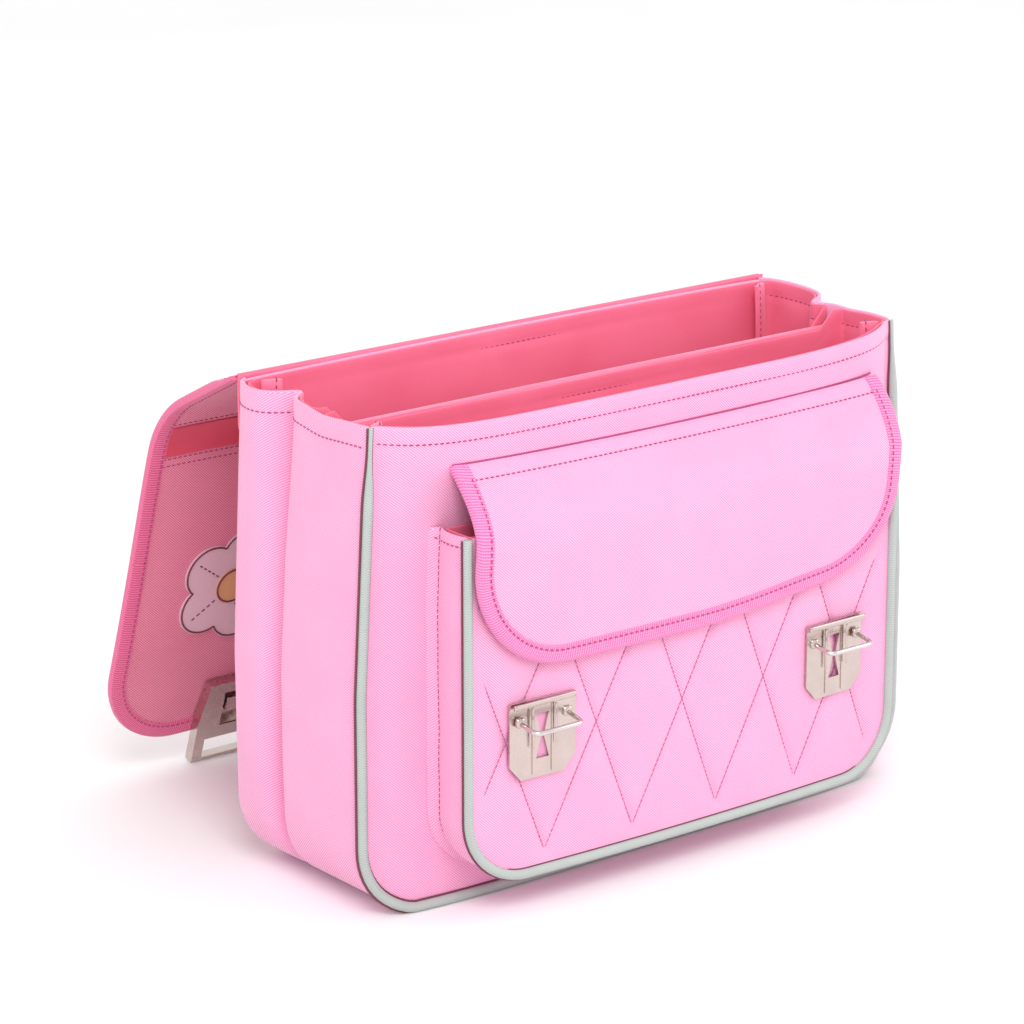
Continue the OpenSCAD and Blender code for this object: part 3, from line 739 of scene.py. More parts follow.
def divider():
    """The stiffened wall between the compartments, its lining folded over the top."""
    half_t = 2.0
    near_top = DIVIDER_TOP - np.array([6.5, 5.4, 4.6, 3.8, 2.6, 1.6])
    z = np.concatenate([np.linspace(8, DIVIDER_TOP - 8, 40), near_top])
    u = np.linspace(-1, 1, 70)
    rows = []
    for side, order in ((-1, z), (1, z[::-1])):
        for h in order:
            w = half_width(h, WALL) - 5.0 - 1.0 * smooth(200, 250, h)
            x = u * w
            groove = 0.55 * np.exp(-((h - DIVIDER_TOP + 4.8) / 0.7) ** 2)
            soft = 0.25 * np.sin(x / 37 + h / 50)
            rows.append(stack(x, DIVIDER_Y + side * (half_t - groove) + soft, h))
        if side == -1:
            w = half_width(DIVIDER_TOP, WALL) - 6.0
            for a in np.radians([150, 110, 70, 30]):
                top = DIVIDER_TOP - 1.6 + 1.6 * np.sin(a)
                rows.append(stack(u * w, DIVIDER_Y + half_t * np.cos(a), top))
    p = np.array(rows).transpose(1, 0, 2)
    around = lengths(p[35])
    uv = stack(p[..., 0], around[None, :])
    b = Build()
    b.grid(p, uv)
    k = np.linspace(0, 1, 3)[:, None, None]
    half = p.shape[1] // 2
    for end in (0, -1):
        cap = p[end, :half], p[end, ::-1][:half]
        strip = cap[0] * (1 - k) + cap[1] * k
        b.grid(strip, strip[..., 1:].copy())
    foot = p[:, 0], p[:, -1]
    strip = foot[0] * (1 - k) + foot[1] * k
    b.grid(strip, strip[..., :2].copy())
    piece = b.piece("divider_cover", [divider_cloth], "root", "coral_lining",
                    ("divider", "divider_board"))


def corner_strips():
    """Bound seam allowances standing in the four inner corners."""
    b = Build()
    for m in (-1, 1):
        for y, lean, low in ((BACK_Y - 9.5, -1, 60), (FRONT_Y + 7, 1, 60)):
            z = np.linspace(low, 262.6 if lean < 0 else 258.5, 44)
            x = m * (half_width(z) - 8.0)
            path = stack(x, y + 1.2 * np.sin(z / 23), z)
            a = unit(np.array([-m * 0.95, lean * 0.45, 0]))
            c = np.cross(a, (0, 0, 1))
            size = 0.75 + 0.25 * smooth(60, 110, z)
            b.tube(path + a * 3.0, a, c, oval(5.6, 1.2, 12, 0.6), scale=size)
            b.stitches(path + a * 5.2 + c * 1.1, c, 1, pitch=3.6)
            b.stitches(path + a * 5.2 - c * 1.1, -c, 1, pitch=3.6)
    b.piece("corner_seam_bindings", [divider_cloth, stitch], "root", "coral_lining")


# ---- front pocket ----

def pocket_half(z, inset=0.0):
    z = np.asarray(z, float)
    r = POCKET_R - inset
    drop = np.clip(POCKET_LOW + POCKET_R - z, 0, r)
    corner = POCKET_HALF - POCKET_R + np.sqrt(np.maximum(r * r - drop * drop, 0))
    return np.where(z < POCKET_LOW + POCKET_R, corner, POCKET_HALF - inset)


def pocket_y(x):
    return POCKET_EDGE_Y - POCKET_BELLY * (1 - np.minimum(1, abs(x) / POCKET_HALF) ** 2)


def quilt(x, z):
    """Depth of the sewn diamond channels."""
    near = 1e3
    for slope in QUILT_SLOPES:
        off = x - QUILT_X - slope * (z - QUILT_Z)
        off = abs(off - QUILT_STEP * np.round(off / QUILT_STEP)) / math.hypot(1, slope)
        near = np.minimum(near, off)
    return 1.25 * np.exp(-(near / 1.7) ** 2) + 0.9 * np.exp(-(near / 6.5) ** 2)


def pocket_outline(inset=0.0, step=4.0, top=POCKET_TOP):
    up = np.linspace(top, POCKET_LOW + POCKET_R, 38)
    left = np.stack([-(POCKET_HALF - inset) + 0 * up, up, -1 + 0 * up, 0 * up], 1)
    a = np.radians(np.linspace(180, 270, 15))[1:]
    flat, r = POCKET_HALF - POCKET_R, POCKET_R - inset
    bend = np.stack([r * np.cos(a) - flat, POCKET_LOW + POCKET_R + r * np.sin(a),
                     np.cos(a), np.sin(a)], 1)
    x = np.linspace(-flat, 0, int(flat / step))[1:]
    base = np.stack([x, POCKET_LOW + inset + 0 * x, 0 * x, -1 + 0 * x], 1)
    return mirrored(np.concatenate([left, bend, base]), (-1, 1, -1, 1))


def pocket_front():
    u = np.linspace(-1, 1, 260)[:, None]
    low = POCKET_LOW + POCKET_R * (1 - np.cos(np.linspace(0, math.pi / 2, 20)))
    z = np.concatenate([low, np.linspace(POCKET_LOW + POCKET_R, POCKET_TOP - 1, 100)[1:]])[None, :]
    x = u * pocket_half(z, 1.0)
    z = np.broadcast_to(z, x.shape)
    edge = np.minimum(pocket_half(z, 1.0) - abs(x), z - POCKET_LOW)
    fade = smooth(3, 12, edge) * (1 - smooth(POCKET_TOP - 14, POCKET_TOP - 8, z))
    y = pocket_y(x) + quilt(x, z) * fade + 0.35
    b = Build()
    b.shell(stack(x, y, z), stack(x, z), 2.4)
    piece = b.piece("pocket_front_quilted", [pink_down], "root", "pink_twill", ("pocket_front",))
    s = Build()
    for slope in QUILT_SLOPES:
        for n in range(-4, 7):
            z = np.linspace(POCKET_LOW + 3, POCKET_TOP - 12, 60)
            x = QUILT_X + QUILT_STEP * n + slope * (z - QUILT_Z)
            keep = abs(x) < pocket_half(z) - 4.5
            if keep.sum() > 3:
                x, z = x[keep], z[keep]
                y = pocket_y(x) + 0.35 + 2.0
                s.stitches(stack(x, y, z), (0, -1, 0), 1, pitch=2.9, long=2.6, wide=0.36, lift=0.1)
    x = np.linspace(-138, 138, 90)
    s.stitches(stack(x, pocket_y(x) + 0.3, POCKET_TOP - 9 + 0 * x), (0, -1, 0))
    s.piece("quilting_stitches", [stitch, quilt_thread], "root", "webbing")


def pocket_gusset():
    rows = pocket_outline()
    x, z, nx, nz = (rows[:, k:k + 1] for k in range(4))
    along = lengths(rows[:, :2])
    t = np.linspace(0, 1, 26)[None]
    y0 = front_y(x, z) - 0.3
    y1 = pocket_y(x) + 1.6
    y = y0 + (y1 - y0) * t
    puff = 2.2 * np.sin(math.pi * np.clip((t - 0.16) / 0.84, 0, 1)) ** 0.8
    foot = 3.2 * np.exp(-(t / 0.06) ** 2)
    groove = -0.8 * np.exp(-((t - 0.17) / 0.03) ** 2)
    out = (puff + foot + groove) * np.ones_like(x)
    p = stack(x + nx * out, y, z + nz * out)
    p[..., 0] += 0.5 * ripple(p, 22, 2.0)
    uv = stack(y, along[:, None])
    b = Build()
    b.shell(p, uv, 2.0)
    piece = b.piece("pocket_gusset_cloth", [pink_up], "root", "pink_twill", ("pocket_gusset",))
    s = Build()
    k = 4
    normal = stack(nx[:, 0], 0 * nx[:, 0], nz[:, 0])
    s.stitches(p[:, k] + normal * 0.15, normal)
    for m, row in ((-1, 0), (1, -1)):
        s.stitches(p[row, 2:-2] + np.array([m * 0.2, 0, -4.5]), (m, 0, 0))
    s.piece("pocket_gusset_stitches", [stitch], "root", "webbing")


def pocket_piping():
    b, e = Build(), Build()
    rows = pocket_outline(-0.5)
    x, z, nx, nz = rows.T
    centre = stack(x, pocket_y(x) - 0.2, z)
    side = stack(nx, 0 * nx, nz)
    b.tube(centre, side, (0, -1, 0), oval(2.6, 2.3, 14))
    b.piece("pocket_piping_cord", [piping], "root", "grey_piping", ("pocket_piping",))
    # Thin near-black cords on both sides of the piping: painted shadow in the seam, standing also for its
    # stitching.
    for off in (-2.8, 2.7):
        line = centre + side * off + np.array([0, 1.1, 0])
        e.tube(line, side, (0, -1, 0), oval(0.7, 0.7, 6))
    e.piece("pocket_piping_seam_shadow", [dark_thread_and_seam_shadow], "root", "grey_piping")


def pocket_lining():
    liner("pocket_lining_cloth", lambda x, z: pocket_y(x) + 3.4,
          lambda x, z: front_y(x, z) - 1.2, lambda z: pocket_half(z, 3.4), POCKET_LOW + 5,
          lambda x, y: POCKET_TOP + 0 * x, [lining_cloth], ("pocket_lining",),
          lobes=False, levels=30)


def pocket_flap_point(t, x):
    """The pocket flap's middle surface: t runs down it in millimetres from its seam."""
    knots = np.array([[-71.6, 232.5], [-75, 230], [-84, 222], [-93, 213.5], [-99.5, 205.5],
                      [-101.8, 196], [-102.2, 180], [-102.2, 132]])
    s = lengths(knots)
    fine = np.linspace(0, s[-1], 400)
    y, z = (np.interp(fine, s, knots[:, k]) for k in range(2))
    for _ in range(60):
        y[1:-1] = (y[:-2] + 2 * y[1:-1] + y[2:]) / 4
        z[1:-1] = (z[:-2] + 2 * z[1:-1] + z[2:]) / 4
    edge = np.minimum(1, abs(x) / POCKET_FLAP_HALF) ** 2
    near_seam = 1 - smooth(0, 22, t)
    top = (front_y(x, 232.5) - front_y(0.0, 232.5)) * near_seam
    back = 3.6 * edge * smooth(20, 70, t)
    return np.interp(t, fine, y) + top + back, np.interp(t, fine, z) + 2.5 * edge * near_seam


def pocket_flap_half(t, inset=0.0):
    """Half width of the pocket flap at t down it; round lower corners."""
    r = POCKET_FLAP_R - inset
    end = POCKET_FLAP_LONG - inset
    drop = np.clip(t - (end - r), 0, r)
    return POCKET_FLAP_HALF - inset - r + np.sqrt(np.maximum(r * r - drop * drop, 0))


def pocket_flap_surface(x, t, d):
    """A point d in front of the pocket flap's middle surface; its right side hangs less low."""
    short = 8.0 * smooth(0, 120, x) * smooth(50, POCKET_FLAP_LONG, t)
    t = t - short
    y, z = pocket_flap_point(t, x)
    y2, z2 = pocket_flap_point(t + 1.0, x)
    dy, dz = y2 - y, z2 - z
    size = np.hypot(dy, dz) + 1e-9
    x = x + (POCKET_FLAP_SHIFT + 1.8 * x / POCKET_FLAP_HALF) * (1 - smooth(0, 55, t))
    return stack(x, y + d * dz / size, z - d * dy / size)


def pocket_flap():
    u = np.linspace(-1, 1, 130)[:, None]
    end = POCKET_FLAP_LONG - 4
    round_part = end - (end - 60) * np.cos(np.linspace(0, math.pi / 2, 40))[1:]
    t = np.concatenate([np.linspace(0, 60, 30), round_part])[None]
    t = np.minimum(t, end)
    x = u * pocket_flap_half(t, 4.0)
    t = np.broadcast_to(t, x.shape)
    seam = 0.6 * np.exp(-((t - 8.5) / 1.0) ** 2)
    p = pocket_flap_surface(x, t, 1.2 - seam)
    p[..., 1] -= 0.35 * ripple(p, 40, 4.0)
    b = Build()
    b.shell(p[:, ::-1], stack(x, -t)[:, ::-1], 2.2)
    sheet = b.piece("pocket_flap_cloth", [pink_down], None, "pink_twill", ("pocket_flap",))
    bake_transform(sheet)
    bind, sew = Build(), Build()
    edge = hanging_edge(POCKET_FLAP_HALF - 1, POCKET_FLAP_LONG - 1, POCKET_FLAP_R - 1, 0)
    line, length = resample(edge, 3.0)
    outward = fold_tape(bind, line, length, pocket_flap_surface, 1.1, 20)
    tape = bind.piece("pocket_flap_tape", [webbing], None, "webbing", ("pocket_flap_binding",))
    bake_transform(tape)
    for d in (2.35, -2.15):
        xy = line - outward * 6.4
        pts = pocket_flap_surface(xy[:, 0], xy[:, 1], d)
        sew.stitches(pts[3:-3], (0, -1 if d > 0 else 1, 0), pitch=3.4)
    x = np.linspace(-136, 136, 100)
    seam_line = pocket_flap_surface(x, 0 * x + 8.5, 1.0)
    sew.stitches(seam_line, (0, -0.7, 0.7))
    thread_rows = sew.piece("pocket_flap_stitches", [stitch], None, "webbing")
    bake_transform(thread_rows)
    roll = Build()
    x = np.linspace(-141, 141, 60)
    z = 233.9 + 2.5 * (x / POCKET_FLAP_HALF) ** 2
    x = x + POCKET_FLAP_SHIFT + 1.8 * x / POCKET_FLAP_HALF
    y = front_y(x, 233.5) - 0.25
    roll.tube(stack(x, y, z), (0, 1, 0), (0, 0, 1), oval(0.7, 0.55, 8))
    roll.piece("pocket_flap_seam", [stitch], "root", "webbing")


def fold_tape(build, line, length, surface, t, girth):
    """Folds a tape round the edge at line of a cloth of half thickness t; says which way is out."""
    direction = unit(np.gradient(line, axis=0))
    outward = np.stack([-direction[:, 1], direction[:, 0]], 1)
    wide = BINDING
    profile = [(-wide, t * 0.6), (-wide + 0.6, t + 0.85), (-wide / 2, t + 1.05), (-1.2, t + 1.0),
               (0.4, t + 0.5), (1.1, 0.0), (0.4, -t - 0.5), (-1.2, -t - 1.0),
               (-wide / 2, -t - 1.05), (-wide + 0.6, -t - 0.85), (-wide, -t * 0.6), (-wide + 0.8, 0.0)]
    columns = []
    for out, d in profile:
        xy = line + outward * out
        columns.append(surface(xy[:, 0], xy[:, 1], d))
    ring = np.stack(columns, 1)
    around = np.linspace(0, girth, len(profile) + 1)
    build.grid(ring, stack(length[:, None], around[None, :]), close=True)
    for end in (ring[0], ring[-1]):
        cap = np.stack([end, np.broadcast_to(end.mean(0), end.shape)])
        build.grid(cap, np.zeros((2, len(profile) + 1, 2)), close=True)
    return outward


# ---- main flap ----

def flap_angle(s):
    bend = FLAP_START - (s - FLAP_STRAIGHT) / FLAP_BEND
    return np.where(s <= FLAP_STRAIGHT, FLAP_START, np.maximum(bend, FLAP_HANG))


def flap_middle(s):
    """The flap's middle line: y and z at length s from the hinge."""
    s = np.asarray(s, float)
    a = np.clip(s, None, FLAP_STRAIGHT)
    y = HINGE[0] + a * math.cos(FLAP_START)
    z = HINGE[1] + a * math.sin(FLAP_START)
    turn = np.clip(s - FLAP_STRAIGHT, 0, FLAP_ARC) / FLAP_BEND
    y = y + FLAP_BEND * (np.sin(FLAP_START) - np.sin(FLAP_START - turn))
    z = z + FLAP_BEND * (np.cos(FLAP_START - turn) - np.cos(FLAP_START))
    rest = np.clip(s - FLAP_STRAIGHT - FLAP_ARC, 0, None)
    return y + rest * math.cos(FLAP_HANG), z + rest * math.sin(FLAP_HANG)


def flap_wave(x, s):
    """The hanging cloth's slow waves, which die out where the locks are."""
    calm = smooth(50, 110, s) * (1 - smooth(225, 262, s))
    return calm * (0.9 * np.sin(x / 46 + s / 60) + 0.7 * np.sin(x / 29 - s / 33 + 1.0))


def flap_inside(s):
    """How much of its inner half thickness the flap has at s: none at the hinge, to clear the rim."""
    return smooth(6, 22, s)


def flap_surface(x, s, d):
    """A point d off the flap's middle on its outer side, at x across and s along it."""
    y, z = flap_middle(s)
    angle = flap_angle(s)
    d = np.where(np.asarray(d) < 0, d * flap_inside(s), d) + flap_wave(x, s)
    return stack(x, y + d * np.sin(angle), z - d * np.cos(angle))


def flap_half(s, inset=0.0):
    r = FLAP_R - inset
    drop = np.clip(s - (FLAP_LONG - inset - r), 0, r)
    return FLAP_HALF - inset - r + np.sqrt(np.maximum(r * r - drop * drop, 0))


# name, the two bodies, from and to along the flap, where it bends, and the nodes that it stands for
SECTIONS = (
    ("yoke", "flap_top", "", 1.4, 44, 0, 0, "flap_yoke"),
    ("bridge", "flap_top", "flap_mid", 44, 106, 62, 90, "flap_bridge"),
    ("upper", "flap_mid", "flap_upper", 106, 170, 122, 150, "flap_panel_upper"),
    ("lower", "flap_upper", "flap_lower", 170, 296, 192, 216, "flap_panel_lower"),
)
BINDINGS = {"yoke": "flap_yoke_binding", "bridge": "flap_bridge_binding",
            "upper": "flap_binding_upper", "lower": "flap_binding_lower"}


def bend_piece(piece, section):
    _, a, b, _, _, start, end, _ = section
    if b:
        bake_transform(piece)
    else:
        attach(piece, a)


def flap_sections():
    for section in SECTIONS:
        name, _, _, s0, s1, _, _, node = section
        last = name == "lower"
        inset = 4.0
        if last:
            stop = FLAP_LONG - inset
            straight = FLAP_LONG - FLAP_R
            s = np.concatenate([np.linspace(s0, straight, 26), stop - (stop - straight) * np.cos(
                np.linspace(0, math.pi / 2, 26))[1:]])[None]
        else:
            s = np.linspace(s0, s1, max(14, int((s1 - s0) / 2.2)))[None]
        x = np.linspace(-1, 1, 120)[:, None] * flap_half(s, inset)
        s = np.broadcast_to(s, x.shape)
        outer = flap_surface(x, s, FLAP_T / 2)
        b = Build()
        thick = FLAP_T / 2 * (1 + flap_inside(s))
        b.shell(outer[::-1], stack(x, -s)[::-1], thick[::-1], flush="c" if last else "ac")
        nodes = (node, "flap_hinge_strip") if name == "yoke" else (node,)
        sheet = b.piece("flap_cloth_painted_shade_" + name, [flap_cloth_painted_shade], None, "pink_twill", nodes)
        bend_piece(sheet, section)
        flap_binding(section, last)


def flap_edge_line(s0, s1, last):
    if not last:
        s = np.linspace(s0, s1, int((s1 - s0) / 2.5) + 2)
        side = FLAP_HALF - 1 + 0 * s
        return [np.stack([-side, s], 1), np.stack([side, s[::-1]], 1)]
    return [hanging_edge(FLAP_HALF - 1, FLAP_LONG - 1, FLAP_R - 1, s0)]


def flap_binding(section, last):
    name, _, _, s0, s1, _, _, _ = section
    b, sew = Build(), Build()
    for line in flap_edge_line(s0, s1, last):
        if last:
            line, length = resample(line, 3.0)
        else:
            length = line[:, 1]
        outward = fold_tape(b, line, length, flap_surface, FLAP_T / 2, 21)
        for d in (FLAP_T / 2 + 0.98, -FLAP_T / 2 - 0.98):
            xy = line - outward * 6.8
            pts = flap_surface(xy[:, 0], xy[:, 1], d)
            angle = flap_angle(xy[:, 1])
            n = stack(0 * angle, np.sin(angle), -np.cos(angle)) * np.sign(d)
            sew.stitches(pts, n, pitch=3.4)
    tape = b.piece("flap_tape_" + name, [flap_webbing_painted_shade], None, "webbing", (BINDINGS[name],))
    bend_piece(tape, section)
    rows = {"bridge": (81.5, 106.0), "upper": (110.5,), "lower": (), "yoke": ()}[name]
    x = np.linspace(-172, 172, 120)
    for s in rows:
        if s0 <= s <= s1:
            angle = flap_angle(np.full_like(x, s))
            sew.stitches(flap_surface(x, np.full_like(x, s), FLAP_T / 2),
                         stack(0 * x, np.sin(angle), -np.cos(angle)))
    threads = sew.piece("flap_stitches_" + name, [stitch], None, "webbing")
    bend_piece(threads, section)


def flap_root():
    """The strip that sews the flap to the back panel, and the roll that the flap hinges on."""
    z = np.concatenate([np.linspace(236, 260, 16), [261.5, 262.6, 263.4]])[None]
    x = np.linspace(-177, 177, 90)[:, None]
    y = 55.0 - 0.9 * smooth(260, 263.4, z)
    p = stack(x, y, z)
    b = Build()
    b.shell(p[::-1], stack(x, z)[::-1], 1.9, mats=(0, 1, 1))
    line = np.linspace(-177.5, 177.5, 90)
    b.tube(stack(line, HINGE[0] + 0 * line, HINGE[1] - 0.8 + 0 * line), (0, 1, 0), (0, 0, 1),
           oval(1.3, 1.2, 14), 1)
    piece = b.piece("flap_root_strip", [pink_down, lining_cloth], "root", "pink_twill",
                    ("flap_seam_strip",))
    s = Build()
    xs = np.linspace(-174, 174, 120)
    for z in (239.0, 249.0):
        s.stitches(stack(xs, 55.1 + 0 * xs, z + 0 * xs), (0, 1, 0))
    s.piece("flap_root_stitches", [stitch], "root", "webbing")


def flap_band():
    x = np.linspace(-1, 1, 100)[:, None] * (FLAP_HALF - BINDING + 1)
    s = np.linspace(84, 104, 12)[None]
    x, s = np.broadcast_to(x, (100, 12)), np.broadcast_to(s, (100, 12))
    b = Build()
    b.shell(flap_surface(x, s, FLAP_T / 2 + 0.7)[::-1], stack(x, -s)[::-1], 0.6)
    piece = b.piece("flap_band_cloth", [band_cloth_painted_shade], None, "coral_lining", ("flap_band",))
    bend_piece(piece, SECTIONS[1])


def flower():
    """A plain five-petal patch with an embroidered edge."""
    cx, cs = -112.0, 198.0
    angle = np.linspace(0, 2 * math.pi, 121)[:-1]
    near = (angle + math.pi / 5) % (2 * math.pi / 5) - math.pi / 5
    radius = 20 * np.cos(near) + np.sqrt(16.5 ** 2 - (20 * np.sin(near)) ** 2)

    def disc(build, size, d, mat):
        t = np.linspace(0, 1, 14)[:, None] * size
        x = cx + t * np.cos(angle)
        s = cs + t * np.sin(angle)
        top = flap_surface(x, s, d + 0 * x)
        uv = stack(np.concatenate([x, x[:, :1]], 1), np.concatenate([s, s[:, :1]], 1))
        low = flap_surface(x, s, d - 0.8 + 0 * x)
        build.grid(top, uv, mat, close=True)
        build.grid(low, uv, mat, close=True, flip=True)
        wall = np.stack([top[-1], low[-1]])
        build.grid(wall, np.stack([uv[-1], uv[-1] + 0.8]), mat, close=True)
        return top[-1]

    b = Build()
    disc(b, radius, FLAP_T / 2 + 0.85, 0)
    disc(b, np.full_like(radius, 11.0), FLAP_T / 2 + 1.5, 1)
    n = stack(0.0, math.sin(FLAP_HANG), -math.cos(FLAP_HANG))
    for size in (radius - 1.2, np.full_like(radius, 10.2)):
        x = cx + size * np.cos(angle)
        s = cs + size * np.sin(angle)
        d = FLAP_T / 2 + (0.9 if size[0] > 12 else 1.55)
        ring = flap_surface(x, s, d + 0 * x)
        b.stitches(np.concatenate([ring, ring[:1]]), n, 2, pitch=1.5, long=1.7, wide=0.7)
    for k in range(5):
        a = 2 * math.pi * k / 5
        t = np.linspace(14, 29, 8)
        x, s = cx + t * math.cos(a), cs + t * math.sin(a)
        b.stitches(flap_surface(x, s, FLAP_T / 2 + 0.9 + 0 * x), n, 2, pitch=3.4, long=2.4, wide=0.5)
    piece = b.piece("flower_patch", [patch_pink, patch_tan, dark_thread_and_seam_shadow], None, "patch_cloth",
                    ("flap_patch_upper", "flap_patch_lower"))
    bend_piece(piece, SECTIONS[3])


# ---- back, straps and handle ----

def puff(name, p, uv, mat, nodes, thick_at, fill):
    """A stuffed piece: a sheet p whose thickness at each point is thick_at, closed round its rim."""
    normal = grid_normals(p)
    b = Build()
    half = thick_at[..., None] / 2
    b.grid(p + normal * half, uv)
    b.grid(p - normal * half, uv, flip=True)
    i, j = lap(*p.shape[:2])
    top, low = (p + normal * half)[i, j], (p - normal * half)[i, j]
    centre = p.reshape(-1, 3).mean(0)
    out = unit(p[i, j] - centre)
    b.rim(top, low, out, uv[i, j], 0)
    piece = b.piece(name, [mat], "root", "pink_twill", nodes)


PAD_MID_Z, PAD_COLUMNS, PAD_ROWS = 135, (-75.0, 0.0, 75.0), (100.0, 170.0)


def back_pad():
    """A padded back with sewn channels."""
    u = np.linspace(-1, 1, 150)[:, None]
    v = np.linspace(-1, 1, 90)[None]
    x, z = u * 149, PAD_MID_Z + v * 78
    corner = 1 - smooth(0.86, 1.0, np.maximum(abs(u), abs(v)) * np.ones_like(x + z))
    round_x = x * (1 - 0.035 * abs(v) ** 6)
    round_z = PAD_MID_Z + (z - PAD_MID_Z) * (1 - 0.05 * abs(u) ** 8)
    chan = np.minimum.reduce([abs(x - c) for c in PAD_COLUMNS]) + 0 * z
    rows = np.minimum.reduce([abs(z - c) for c in PAD_ROWS]) + 0 * x
    groove = 3.2 * np.exp(-(chan / 3.0) ** 2) + 1.2 * np.exp(-(chan / 9) ** 2)
    groove += 2.2 * np.exp(-(rows / 2.6) ** 2)
    crown = 1.6 + 5.4 * np.clip(corner, 0, 1) ** 0.6
    face = BACK_Y + 1.0 + np.maximum(crown - groove * np.clip(corner, 0, 1), 0.8)
    p = stack(round_x * np.ones_like(face), face, round_z * np.ones_like(face))
    uv = stack(-x + 0 * z, z + 0 * x)
    low = p.copy()
    low[..., 1] = BACK_Y + 0.7
    b = Build()
    b.grid(p[::-1], uv[::-1])
    b.grid(low[::-1], uv[::-1], flip=True)
    i, j = lap(*p.shape[:2])
    out = unit((p[i, j] - np.array([0, BACK_Y, PAD_MID_Z])) * [1, 0, 1.6])
    b.rim(p[i, j], low[i, j], out, uv[i, j], 0)
    piece = b.piece("back_pad_quilted", [pink_down], "root", "pink_twill", ("back_pad",))
    s = Build()
    for c in PAD_COLUMNS:
        zz = np.linspace(62, 208, 60)
        s.stitches(stack(c + 0 * zz, BACK_Y + 3.6 + 0 * zz, zz), (0, 1, 0), pitch=3.6)
    for c in PAD_ROWS:
        xx = np.linspace(-143, 143, 90)
        s.stitches(stack(xx, BACK_Y + 5.2 + 0 * xx, c + 0 * xx), (0, 1, 0), pitch=3.6)
    s.piece("back_pad_stitches", [stitch], "root", "webbing")


STRAP_SAG, STRAP_HALF, STRAP_MID_Z, STRAP_X = 36.0, 95.0, 135.0, 84.0
PAD_HALF, PAD_LOW, PAD_TOP = 27.0, -8.5, 44  # the strap's pad: half its width, and its arc in degrees
STRAP_R = (STRAP_HALF ** 2 + STRAP_SAG ** 2) / (2 * STRAP_SAG)
STRAP_CY = BACK_Y + 9 + STRAP_SAG - STRAP_R


def strap_arc(angle, r):
    a = np.radians(angle)
    return STRAP_CY + r * np.cos(a), STRAP_MID_Z + r * np.sin(a)


def strap_half(angle):
    """Half the pad's width: it narrows at its lower end and a little at its top."""
    return PAD_HALF * (0.62 + 0.38 * smooth(PAD_LOW, 0, angle)) * (
        1 - 0.05 * smooth(38, PAD_TOP, angle))


def straps():
    for name, m in SIDES:
        v = np.linspace(-1, 1, 30)[None]
        a = np.linspace(PAD_LOW, PAD_TOP, 90)[:, None]
        x = m * STRAP_X + v * strap_half(a)
        y, z = strap_arc(a, STRAP_R)
        p = stack(x + 0 * y, y + 0 * x, z + 0 * x)
        side = abs(v) + 0 * a
        thick = 2.2 + 5.6 * (1 - side ** 4) ** 0.6 * (0.35 + 0.65 * smooth(PAD_LOW, -3, a)) * (
            1 - 0.6 * smooth(40, PAD_TOP, a))
        thick = thick - 2.6 * np.exp(-((side - 0.8) / 0.045) ** 2)
        uv = stack(v * PAD_HALF + 0 * a, STRAP_R * np.radians(a) + 0 * v)
        puff("strap_padded_" + name, p, uv, pink_down, ("strap_" + name,), thick, 0.7)
        tape = Build()
        a2 = np.linspace(PAD_LOW, PAD_TOP, 60)
        y, z = strap_arc(a2, STRAP_R)
        for edge in (-1, 1):
            path = stack(m * STRAP_X + edge * (strap_half(a2) + 0.2), y, z)
            radial = stack(0 * a2, np.cos(np.radians(a2)), np.sin(np.radians(a2)))
            tape.tube(path, (1, 0, 0), radial, oval(3.0, 1.9, 12, 0.7))
        tape.piece("strap_edge_tape_" + name, [webbing], "root", "webbing")
        web = Build()
        a3 = np.linspace(-44.3, -6, 70)
        y, z = strap_arc(a3, STRAP_R)
        radial = stack(0 * a3, np.cos(np.radians(a3)), np.sin(np.radians(a3)))
        web.tube(stack(m * STRAP_X + 0 * y, y, z), (1, 0, 0), radial, oval(12.5, 0.8, 16, 0.35))
        web.piece("strap_web_" + name, [webbing], "root", "webbing", ("strap_webbing_" + name,))
        patch = Build()
        xx = np.linspace(-17, 17, 24)[:, None]
        zz = np.linspace(20, 48, 20)[None]
        q = stack(m * STRAP_X + xx + 0 * zz, BACK_Y + 2.4 + 0 * (xx + zz), zz + 0 * xx)
        patch.shell(q[::-1], stack(xx, zz)[::-1], 2.2)
        cross = [((-13, 24), (13, 44)), ((-13, 44), (13, 24)), ((-14, 23), (14, 23)),
                 ((-14, 45), (14, 45)), ((-14, 23), (-14, 45)), ((14, 23), (14, 45))]
        for (x0, z0), (x1, z1) in cross:
            k = np.linspace(0, 1, 10)
            line = stack(m * STRAP_X + x0 + (x1 - x0) * k, BACK_Y + 2.5 + 0 * k, z0 + (z1 - z0) * k)
            patch.stitches(line, (0, 1, 0), 1, pitch=3.2)
        patch.piece("strap_anchor_patch_" + name, [pink_down, stitch], "root", "pink_twill",
                    ("strap_anchor_" + name,))


